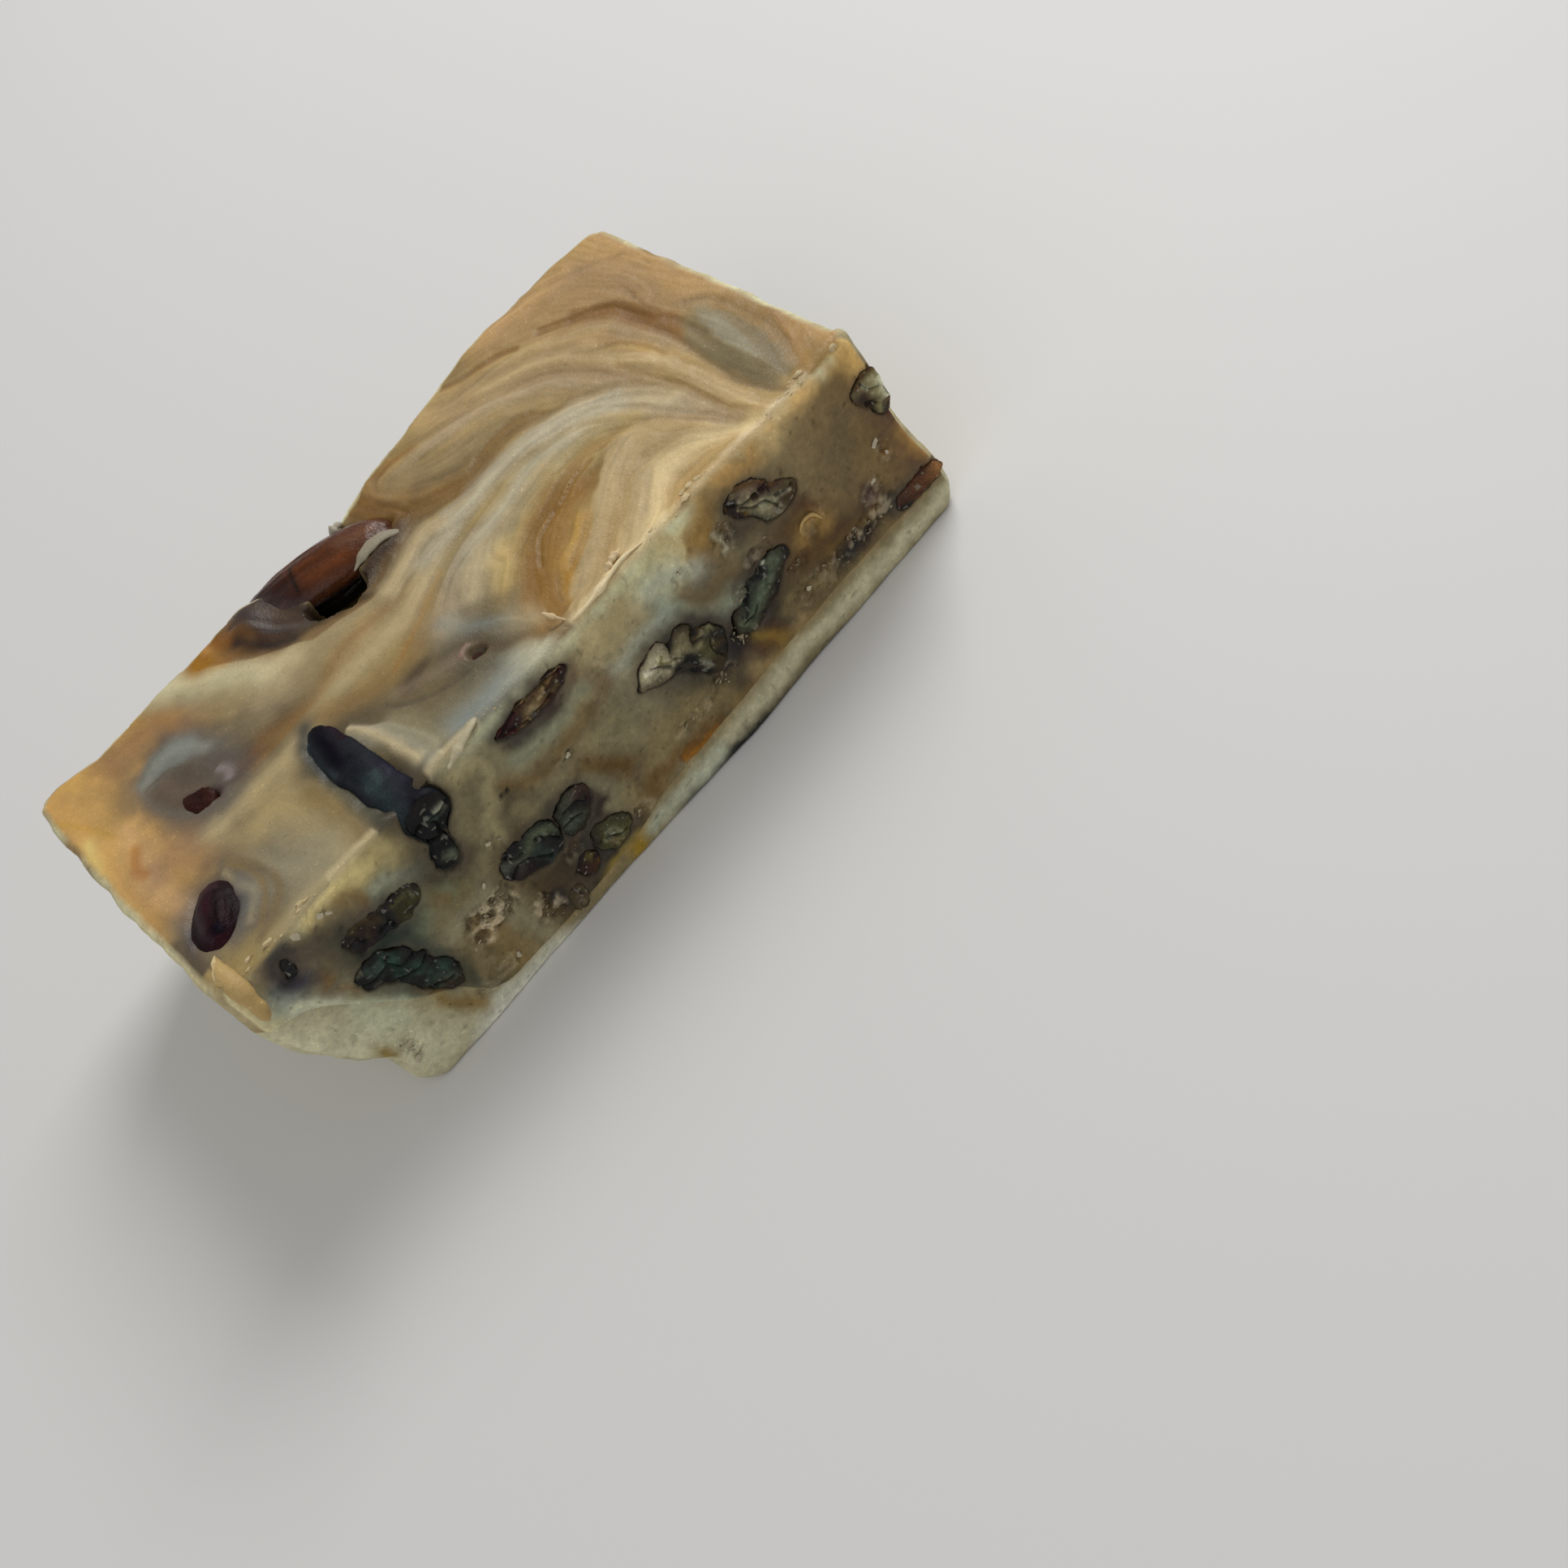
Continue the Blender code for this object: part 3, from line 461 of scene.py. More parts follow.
TOP_BLOTS = (
    ("81704c", (44.9, -11.6), (3.6, 12), 0.95, -9, 0.35),
    ("958c70", (45.9, -9), (1.3, 7.6), 0.9, -14, 0.8),
    ("887b5c", (42.6, -13), (0.9, 9.4), 0.7, -4, 0.8),
    ("4e4d4e", (-40.2, 8), (7.4, 10.4), 0.8, 8, 0.8),
    ("7e8379", (-40.4, 13), (4.6, 3.4), 0.85, -10, 0.7),
    ("584a3b", (-41.6, 7), (3.6, 5), 0.8, 24, 0.8),
    ("5f5449", (-36.6, 4), (1.9, 2.6), 0.85, 0, 0.8),
    ("371616", (-41.2, 2.7), (1.7, 0.7), 0.95, -46, 0.5),
    ("65553e", (-7, -14.8), (1.6, 1.8), 0.7, 0, 0.8),
    # Black spot in the small hollow by the grey pecan: painted shade in the hole.
    ("161616", (-6.7, -16.8), (0.8, 0.5), 0.95, 0, 0.5),
    ("6d5f45", (-10.6, 12.2), (4, 2.8), 1, -14, 0.3),
    # Dark strip along the long pecan's side: painted shadow.
    ("393c2b", (-28.8, -16), (1.5, 9), 0.5, -2, 0.9),
    ("424757", (-49.2, -14.4), (5.6, 6.6), 0.6, 30, 0.8),
    ("67614b", (-10, -18.6), (1.6, 0.7), 0.7, 0, 0.8),
)
TOP_DETAILS = (
    ("70685a", 1, 0.6, (-38.6, 16, -42, 15.8, -45, 13.6, -45.6, 9, -44.4, 5, -42, 1.4, -38, 0.4)),
    ("8a8a7e", 1.5, 0.8, (-44.4, 13.4, -41, 14, -38, 12.6, -36, 9.6), 0.05),
    ("6e5e4e", 1.8, 0.7, (-43, 10, -42.4, 6.6, -40.4, 4)),
    ("5c4e40", 0.35, 0.6, (-45.4, 12.2, -43, 11.8, -40.6, 10.6, -38.6, 7.6, -38, 3.4), -0.05),
    ("8c7e7a", 0.9, 0.8, (-37, 4.8, -36.2, 3, -37, 1.4), 0.1),
    ("3a201c", 1.1, 0.8, (-42, 4.2, -38.8, 1.4)),
    ("240e0c", 0.5, 0.9, (-41.2, 2.8, -40, 1.6, -38.8, 0.9), -0.2),
    # Dark teal strips along the long pecan's side: painted shadow of the pecan on the fudge film.
    ("2e3638", 1.7, 0.8, (-28.6, -13, -28.8, -9, -28, -4.6, -26.4, -2.2)),
    ("4a483c", 1.2, 0.6, (-28.8, -26, -28.8, -14)),
    ("4a3a2c", 0.6, 0.8, (-23, 23.6, -20.6, 21, -18.4, 17.4, -15.6, 13.6), -0.1),
    ("483428", 2.4, 0.8, (-20, 26, -17, 18, -15, 14)),
    ("5c5046", 0.9, 0.6, (-20, 20, -18, 16, -15, 12)),
    ("30221c", 1.4, 0.9, (-18, 26, -16.6, 21, -14.9, 17, -13.8, 12.6)),
    ("ccba90", 0.9, 0.8, (-23.4, -8, -22, -12, -21.2, -17, -20.6, -23), 0.15),
    ("94826a", 1.5, 0.45, (-16, -10.6, -12, -13.6, -8.6, -15)),
    ("967868", 0.4, 0.8, (-8.4, -15.4, -7.2, -14.6, -6.2, -14.4), 0.12),
    # Black line in the small hollow by the grey pecan: painted shade in the hole.
    ("0e0a0a", 0.5, 0.9, (-7.6, -16.6, -6.6, -16.6, -5.6, -17), -0.2),
    # Grey-brown strip beside the purple pecan: fudge film, with painted shadow.
    ("625642", 1.7, 0.9, (-54.6, -13, -55, -17, -53.6, -20)),
    ("605444", 0.5, 0.7, (-18.4, -10, -17, -13, -13, -16.4, -8.4, -18), -0.1),
    ("b09660", 1, 0.8, (-54.2, -21.4, -54, -23.4, -53.2, -25.6), 0.2),
    # Pale cream lines along the front edge: the burr's cream, with a painted highlight along the
    # edge.
    ("e2cea0", 0.9, 0.8, (2, -25.8, 8, -25.4, 20, -25.8), 0.1),
    ("d6be92", 0.9, 0.7, (20, -25.8, 27, -25.8, 34, -25.6, 39, -25.8), 0.1),
    ("e2cca0", 0.7, 0.8, (37, -25.4, 41, -26, 45, -25.8), 0.1),
    ("d6c69c", 0.9, 0.7, (-22, -25.6, -13, -25.4), 0.1),
    ("d6c496", 0.9, 0.7, (-38, -25.4, -34, -25.6, -30, -25.4), 0.1),
)
print("strokes on the top:", len(TOP_FAN) + len(TOP_FOLD) + len(TOP_NEAR))

# %% [markdown]
# Comb lines
#
# Between the painted strokes the whole top is finely lined. Stretching noise one way
# would not bend with the swirl, so the lines are drawn out along the strokes: the
# direction at each place is a mix of the nearest strokes' directions, and grain is
# averaged over short steps that way, which smears it into hair-thin lines.

# %% Comb lines


def flow_field(strokes, low, counts):
    """Direction on a 1 mm grid as the cosine and sine of twice the angle, which makes
    opposite directions the same, mixed with the weight 1 / (0.5 + distance^2)^1.5."""
    x, y = np.meshgrid(low[0] + np.arange(counts[0]), low[1] + np.arange(counts[1]),
                       indexing="ij")
    places = np.stack([x.ravel(), y.ravel()], axis=-1).astype(float)
    twice = np.zeros((len(places), 2))
    for tone, width, strength, row, *more in strokes:
        path = pairs(row)
        line = smooth_path(path, 4 * len(path))
        distance, side, along = beside(places, line)
        run = np.diff(line, axis=0)
        angle = 2.0 * np.arctan2(run[:, 1], run[:, 0])
        at = np.minimum((along * len(run)).astype(int), len(run) - 1)
        weight = 1.0 / (0.5 + distance ** 2) ** 1.5
        twice += weight[:, None] * np.stack([np.cos(angle), np.sin(angle)], axis=-1)[at]
    return twice.reshape(*counts, 2)


def read_field(field, low, places):
    """Unit direction at each place, mixed from the four nearest grid corners."""
    at = np.clip(places - np.array(low), 0.0, np.array(field.shape[:2]) - 1.001)
    cell = at.astype(int)
    part = at - cell
    total = np.zeros(places.shape)
    for a, b in np.ndindex(2, 2):
        share = ((part[:, 0] if a else 1.0 - part[:, 0])
                 * (part[:, 1] if b else 1.0 - part[:, 1]))
        total += share[:, None] * field[cell[:, 0] + a, cell[:, 1] + b]
    angle = 0.5 * np.arctan2(total[:, 1], total[:, 0])
    return np.stack([np.cos(angle), np.sin(angle)], axis=-1)


def comb_lines(places, field, low, size, seed, steps=14, stride=0.4):
    """Mean of the grain over steps each way along the field, brought to unit spread."""
    total = grain(as_points(places[:, 0], places[:, 1], 0.0), size, seed)
    for sign in (1.0, -1.0):
        walker = places.copy()
        before = sign * read_field(field, low, walker)
        for step in range(steps):
            ahead = read_field(field, low, walker)
            ahead *= np.sign(np.sum(ahead * before, axis=1) + 1e-9)[:, None]
            walker = walker + stride * ahead
            before = ahead
            total += grain(as_points(walker[:, 0], walker[:, 1], 0.0), size, seed)
    total -= total.mean()
    return total / total.std()


FIELD_LOW = (-60.0, -32.0)
FIELD = flow_field(TOP_FAN + TOP_FOLD + TOP_NEAR, FIELD_LOW, (118, 66))
print("comb field:", FIELD.shape)

# %% [markdown]
# The cut front face
#
# Here the knife went across the same bands, so they show as soft clouds: cream near the
# middle, grey-brown towards the far end, and browner, crumbly fudge low down where the
# two mixes met. The face stands in the shade, so its tones are given as seen there and
# divided by the share of light that reaches it. Paths are (x, z).

# %% Strokes of the front face
FACE_LIGHT = 0.46


def in_shade(tone):
    """A tone as seen on the shaded face, divided by that face's share of light."""
    return shade(tone, FACE_LIGHT)


FACE_TAN = in_shade("7c6642")
FACE_AMBER = in_shade("8a622c")
# Dark tone for the sunken grains of crumbled places: painted shade in the pits.
FACE_DARK = in_shade("4e3e2a")
BASE_FACE = in_shade("675d41")

FRONT_CLOUDS = (
    ("99a187", 2.6, 0.6, (-52, 26, -47, 20, -44, 11, -37, 3)),
    ("162434", 2.2, 0.8, (-51, 27, -47, 26, -47, 23)),
    ("342c25", 3.4, 1, (-48, 30, -42, 30, -37, 27)),
    ("ae9e6c", 3.3, 1, (-43, 33, -36, 31, -30, 29)),
    ("563e1c", 1.2, 0.6, (-38.9, 29.8, -37.9, 29.9, -36.9, 27.9)),
    ("7c7e6a", 1.7, 0.9, (-34.9, 26.9, -32.5, 26.3, -30.2, 24.6)),
    ("161819", 8.2, 0.8, (-28, 34, -26, 27, -29, 20)),
    ("574016", 2, 0.8, (-46.1, 24.3, -47.8, 22.4, -45.6, 19.7)),
    ("565b47", 2.1, 1, (-34, 22, -29, 18, -34, 18)),
    ("675b40", 1.7, 0.7, (-31.4, 20.4, -32.7, 16.9, -34.5, 4), 0, 1),
    ("726d56", 2.3, 0.7, (-33, 14, -28, 15, -27, 10, -26, 2)),
    ("574622", 1.7, 0.6, (-31.6, 20.5, -29.6, 17, -28.3, 18.3)),
    ("544121", 2.8, 1, (-40, 10, -39, 6, -39, 5, -37, 2)),
    ("5f573e", 2.4, 1, (-17, 30, -22, 26, -23, 21, -25, 17)),
    ("8e8461", 1.9, 0.6, (-20.3, 30.2, -16.6, 28.1, -20.2, 22.4, -20.9, 18.6)),
    ("676047", 2.1, 1, (-15, 30, -13, 24, -5, 23, -1, 24)),
    ("6b6b56", 1.4, 1, (-13.8, 25.2, -4.9, 23.7, -1, 25.4)),
    ("70674b", 2.1, 0.7, (-16, 24, -12, 20, -5, 22, -1, 23)),
    ("513b16", 1.7, 0.6, (-16.6, 23.2, -14.1, 21.8, -9, 21.2, -2.4, 21), 0.1),
    ("90845e", 2, 0.35, (-17.4, 19.6, -12.7, 17.9, -5.7, 18.4)),
    ("6b674f", 2.6, 0.8, (-10.3, 16.4, -5.4, 11.7, -6.8, 8.6, -5.2, 7.5), 0, -1),
    ("493516", 2, 1, (-8, 16, -4, 11)),
    ("857d58", 2.8, 0.45, (-2, 18, -5, 17, -1, 14)),
    ("161616", 1.5, 1, (-21.7, 4.8, -21.3, 6.7, -21.2, 4.3)),
    ("695c3c", 3.6, 0.8, (-6, 7, -4, 4, 2, 10, 12, 7)),
    ("6f602c", 1, 1, (-15.9, 1.7, -14, 2.5, -8.4, 2.1)),
    ("493116", 1.7, 1, (3.2, 7.3, 5.1, 4.7, 8.4, 3.8), 0.05, 2),
    ("533a16", 1.4, 0.7, (-3.7, 5.8, 3.4, 7.2, 8.9, 5.1)),
    ("8c7f5c", 5.7, 1, (3, 30, 5, 28, 15, 29)),
    ("98926f", 6.8, 1, (14.3, 32.8, 15.5, 30.2, 19.5, 28.5), 0, -1),
    ("492d16", 1.6, 0.45, (-1.6, 27.3, 0.2, 23.4, 0.2, 22.5)),
    ("707563", 1.9, 1, (12.1, 24.2, 17.1, 18.4, 20.1, 15.9)),
    ("544830", 2.9, 1, (16, 23, 17, 20, 22, 20)),
    ("ae863a", 4, 0.35, (20, 30, 21, 26, 23, 30)),
    ("827757", 1.4, 0.35, (24.8, 26.7, 23.1, 21.7, 27.6, 20.5)),
    ("a79164", 3, 0.8, (22, 32, 28, 33, 36, 29)),
    ("9f7b43", 1.6, 0.6, (27.5, 31.1, 31.1, 28.3, 33.2, 30.5)),
    ("ae905d", 2, 1, (36.6, 31, 43.6, 30, 48.5, 31.2)),
    ("a88950", 2.9, 1, (51, 31, 51, 27)),
    ("4d412c", 3.1, 0.6, (42, 20, 41, 17, 45, 23)),
    ("412f16", 6.6, 1, (31, 13, 32, 16, 35, 12), 0.05),
    ("402c16", 0.8, 1, (32.5, 19.6, 34.5, 18.8, 36.4, 15.3)),
    ("2a1616", 2.2, 1, (37, 10, 39, 7, 43, 12)),
    ("161616", 2.6, 1, (36, 7, 42, 8, 47, 6), 0.05),
    ("161616", 1.8, 1, (14.3, 10.4, 17.4, 11.5, 22.1, 7.6)),
    ("3f2616", 1.8, 1, (20.1, 7.4, 21.5, 7.4, 22.1, 5.6), 0.05),
    ("5d5134", 1.8, 0.8, (24.7, 8.3, 27.2, 9.8, 35.1, 4)),
    ("736343", 1.8, 1, (17.2, 6.6, 21.6, 3, 25.9, 6.1)),
    ("98753b", 2.4, 0.9, (53, 14, 53, 12, 55, 9)),
    ("6d5830", 0.9, 0.45, (9.7, 5.6, 23.6, 5.2, 40.3, 4, 53, 4.5), 0.05),
)
FRONT_BITS = (
    ("421a12", 0.7, 0.9, (51, 18.8, 51.6, 17.6, 51.9, 16.2), 0.1),
    ("604218", 0.35, 0.8, (47.2, 14.3, 48.2, 13.8, 48.7, 13.1), -0.1),
    ("0c080a", 0.5, 1, (-17.9, 6.5, -16.8, 4.2), -0.4),
    ("241422", 0.5, 0.9, (-14.3, 8.2, -13.8, 7, -13.6, 6), -0.2),
    ("0c0808", 0.3, 0.9, (-18, 23, -17.2, 22.6, -16.5, 22.9), -0.3),
    ("2c221a", 0.2, 0.8, (-5.7, 25.2, -4.8, 25.6, -4, 26.2), -0.1),
    ("1e182a", 1.9, 0.8, (-49.2, 26.2, -48.6, 29, -47.2, 31.6)),
    ("0e080e", 1.4, 0.9, (-49, 27.4, -47.6, 31)),
    ("967840", 1.8, 0.4, (31.6, 14.6, 33.2, 16, 35, 15.2, 35.6, 13.6), 0.1),
    ("281e16", 0.3, 0.7, (-7.6, 19.6, -8.8, 19.2, -9.8, 19.4), -0.2),
    ("382614", 0.4, 0.7, (-13.6, 11, -14.6, 9.8, -17, 9.6), -0.2),
    ("8c9284", 1.6, 0.45, (3.6, 22.6, 8, 23.4, 12, 22.4)),
    ("969e90", 2.4, 0.5, (12, 27, 16, 26, 18, 24)),
    ("805414", 0.7, 0.7, (1.4, 5.4, 4.4, 4.9, 8, 4.6)),
    ("705a22", 1.2, 0.7, (19.4, 9.6, 21, 8, 22, 6.4)),
    ("5c4820", 1.5, 0.5, (34, 10, 38.6, 9.6, 43, 8.6)),
    ("7c8078", 1.9, 0.45, (-51.6, 26.6, -50, 23.6, -47.8, 20.8)),
    ("a0a086", 1.1, 0.7, (-50.6, 24.2, -42.8, 11.2, -40.4, 7.6)),
    ("989680", 0.35, 0.6, (22.4, 25.8, 23, 23.6, 22.6, 21.6), 0.1),
)
BASE_STAINS_AND_FOOT_SHADE = (
    ("aaa98e", 7.1, 0.7, (-56, 22, -45, 4)),
    ("7a6116", 2, 0.9, (-9, 4, -10, 0)),
    ("66532b", 1.3, 0.9, (-40.1, 9.5, -38.5, 4.9, -36.4, 0.6)),
    ("aeae9f", 2.4, 1, (-39, 0, -30, 0, -23, -1)),
    ("695523", 1.2, 0.9, (-49.6, 9.6, -49.7, 10.7, -48.8, 8.3), 0.3),
    ("949780", 2.2, 0.6, (-45, 19, -47, 16, -45, 12)),
    ("969177", 2, 1, (2, 1, 18, 3, 40, 2, 53, 2)),
    # Near-black line along the foot, where the face meets the floor: painted shade.
    ("161616", 1.6, 1, (-1.3, -0.1, 11.5, 0.3, 34.2, -1.7, 52.1, -3)),
    ("929684", 1.8, 0.7, (-6.6, 2, 5, 2)),
    ("9c9e8e", 1.4, 0.6, (-36, 1.8, -30, 2.4, -25, 2)),
)
print("strokes on the front:", len(FRONT_CLOUDS), "and on the base:", len(BASE_STAINS_AND_FOOT_SHADE))

# %% [markdown]
# Outlines of the cut pecans
#
# A pecan half is folded like a walnut, so a knife cut through it gives a lobed section.
# Each outline needs only a handful of points, joined by a closed smooth curve, with one
# tone for its hollows and one for its lumps, partly the flesh's own colours and partly
# painted shade and light of lobes that are not modelled. Its creases are short strokes.
# Points are (x, z) on the front face.

# %% Outlines and creases
# Near-black rim tone: the pecans' dark skin at the cut edge, and painted shade in the gap round them.
NUT_RIM_SKIN_AND_SHADE = shade("1a110b")
SECTIONS = {
    "oval": ("2e1716", "191616", (-13.6, 28.6, -11, 29.5, -7, 29.9, -3.6, 29.7, -1.7, 28.9, -2.6,
     27.5, -5, 26.8, -8.6, 26.8, -11.6, 27.5)),
    "upper": ("161616", "231616", (-42.9, 24.9, -41.4, 26.2, -38.8, 26, -36, 25, -33, 24.6,
     -31.7, 23.4, -32.6, 21.6, -35, 20.8, -38, 21.2, -40.6, 22, -42.5, 23.2)),
    "spot": ("302924", "161616", (-48.9, 27.5, -48.8, 29, -48, 30.1, -47.2, 29.4, -47.2, 28,
     -47.9, 27.1)),
    "near": ("161916", "161616", (-44.8, 20.2, -43.5, 21.3, -41.5, 21.2, -39.3, 19.9, -38, 18.2,
     -37.9, 16.8, -36.8, 15.6, -37, 14.2, -35.7, 12.6, -35.5, 10.9, -36, 9.2, -36.7, 7.8, -38.2,
     8.4, -39.2, 10, -40.4, 12, -40.9, 14, -42.2, 16, -43.2, 17.2, -44.6, 18.2)),
    "cluster": ("171616", "161616", (-24.2, 14.4, -23.6, 15.8, -22, 16.6, -19.5, 16.4, -17, 16.1,
     -15.7, 15, -15.6, 13.4, -15.8, 11.4, -17.2, 10.2, -19.6, 10.4, -21.5, 11.2, -23.2, 12,
     -24.1, 13.2)),
    "purple": ("252417", "181616", (-15.2, 13.8, -14.6, 15.2, -12.5, 16, -10.4, 15.6, -9.5, 14.3,
     -9.8, 12.6, -11.5, 11, -13.5, 10.1, -15.1, 10.5, -15.6, 12)),
    "rough": ("1a1616", "16161d", (-13.9, 7.4, -12.9, 8.8, -11, 8.7, -9, 7.6, -7.9, 6.3, -8.4,
     4.8, -10, 3.9, -11.8, 3.7, -13.2, 4.8, -14, 6.2)),
    "chunk": ("191616", "2b1a16", (-17.5, 6.4, -16.2, 7.3, -14.9, 7, -14.4, 5.5, -14.9, 4.2,
     -16.3, 3.8, -17.3, 4.7)),
    "low": ("342d1b", "463d2e", (-21.3, 2.6, -20.9, 4.2, -19.8, 5.1, -18.7, 4.5, -18.3, 3, -18.9,
     1.6, -20.2, 1.2, -21.1, 1.6)),
    "middle": ("352816", "322d1f", (3.2, 18, 4.5, 19.8, 6.5, 20.8, 8.6, 21, 9.7, 19.7, 11.1,
     20.2, 12.8, 19.8, 13.7, 17.9, 15.3, 16.9, 16.4, 15.2, 16.1, 13.2, 15, 11.3, 13, 10.2, 11.8,
     10.8, 9.4, 13.8, 8.2, 15.2, 6.2, 15.9, 4.4, 16.8)),
    "slim": ("282016", "242016", (17.6, 12.6, 18.8, 14.6, 20.4, 14.8, 21.8, 15.5, 22.4, 16.9, 24,
     16.8, 25.6, 17.5, 27.8, 17.2, 29.6, 16.2, 29.5, 14.6, 27.8, 13.9, 26.4, 12.8, 25.2, 11.9,
     23, 11.4, 20.5, 10.5, 18.5, 10.9)),
    "far": ("161616", "161616", (25.8, 27.3, 28, 27.9, 29.8, 27.5, 31.5, 26.1, 32.4, 24.7, 34,
     23.4, 35.3, 21.9, 34.9, 20.6, 33, 20, 30.8, 20.1, 29.2, 20.8, 28.2, 22.6, 26.8, 23.9, 25.7,
     25.6)),
    "corner": ("3d2916", "161616", (47.6, 24, 49, 24.8, 51, 25.1, 52.6, 24.6, 52.4, 21.6, 52.4,
     19, 51.4, 18.3, 50, 19, 48.9, 20.8, 47.9, 22.4)),
    "strip": ("3f2b22", "342519", (45.2, 6.2, 46.6, 7.5, 49.4, 7.8, 52, 7.5, 53.8, 6.8, 54, 5.4,
     52.4, 4.9, 49.2, 4.8, 46.6, 5, 45.4, 5.4)),
}
LONG_END = (-26.9, 31.6, -24.6, 32.3, -22.4, 31.2, -21.7, 29.2, -22.4, 27.2, -24, 25.9, -24.9,
 24.6, -25.1, 22.8, -25.8, 21.1, -27, 20.5, -28.3, 21.3, -28.8, 22.9, -28.3, 24.4, -27.4, 25.7,
 -27.9, 27.6, -28.1, 29.8)
LONG_TONES = ("161616", "161616")
LONG_CREASES = ((-27.4, 26.2, -26.2, 25.6, -24.6, 25.2), (-28.2, 28.2, -26.4, 28.6, -24, 28, -22,
 28.6), (-25.6, 28.2, -25, 27.2, -25.5, 25.8))
CREASES = {
    "near": ((-44.6, 19.2, -43.2, 18.4, -41.2, 18.6, -40.2, 19.2), (-40.8, 18.6, -40, 16.8,
     -38.4, 16.6, -37.4, 17.2), (-41.8, 16, -40.4, 15.2, -38.6, 14.6, -37.2, 15), (-40.2, 11.6,
     -38.6, 10.4, -37, 9.8)),
    "cluster": ((-23.6, 13, -21.6, 13.8, -20, 12.6, -18.4, 10.8), (-22.6, 15.8, -21.8, 14.8,
     -20.6, 14.6), (-18.6, 14.6, -17.2, 13.4, -16.2, 11.8)),
    "purple": ((-13.8, 13.9, -12, 13.8, -10.6, 12.8), (-15, 12.4, -13.4, 12.2, -12, 11.6)),
    "middle": ((9.7, 20.6, 9.5, 19, 8.9, 17.6, 9.8, 16.4), (13.9, 18.6, 12.6, 17.6, 12.3, 16.4,
     14.2, 16), (6, 18.9, 7.2, 17.8, 8.2, 16.6), (8.6, 15.4, 9.8, 14.8, 10.8, 13.4, 11.8, 11.4),
     (9.2, 14.6, 10.6, 13.8, 11.2, 12.6), (14.4, 15.2, 13.8, 13.4, 14.4, 11.6)),
    "slim": ((20.4, 15.4, 21.4, 14.4, 22.4, 16), (23.4, 17.4, 24.3, 16, 25.4, 17.2), (19, 12.6,
     20.6, 12.2, 22, 12.9)),
    "far": ((26.2, 26.6, 28.2, 25.2, 32, 24.8), (27.4, 25.2, 28.8, 23.8, 30.6, 23, 31.6, 21.4),
     (32, 22.6, 33.4, 22, 34.6, 22)),
    "corner": ((48.2, 21.4, 49.6, 21.2, 50.6, 20.2), (49.6, 24.4, 50.4, 22.8, 51.8, 22)),
    "upper": ((-42.4, 24, -41, 24.4, -40.4, 23.2), (-38.6, 22.4, -37.2, 22.6, -36.8, 21.6)),
    "rough": ((-13.4, 6.4, -12, 6, -10.6, 5, -9.4, 4.8),),
    "oval": ((-13, 28.4, -10, 29.3, -6, 29.5, -2.4, 29), (-12.6, 28.2, -9.6, 27.4, -5, 27.2)),
    "strip": ((45.8, 7.1, 49, 7.5, 53, 7.1),),
}
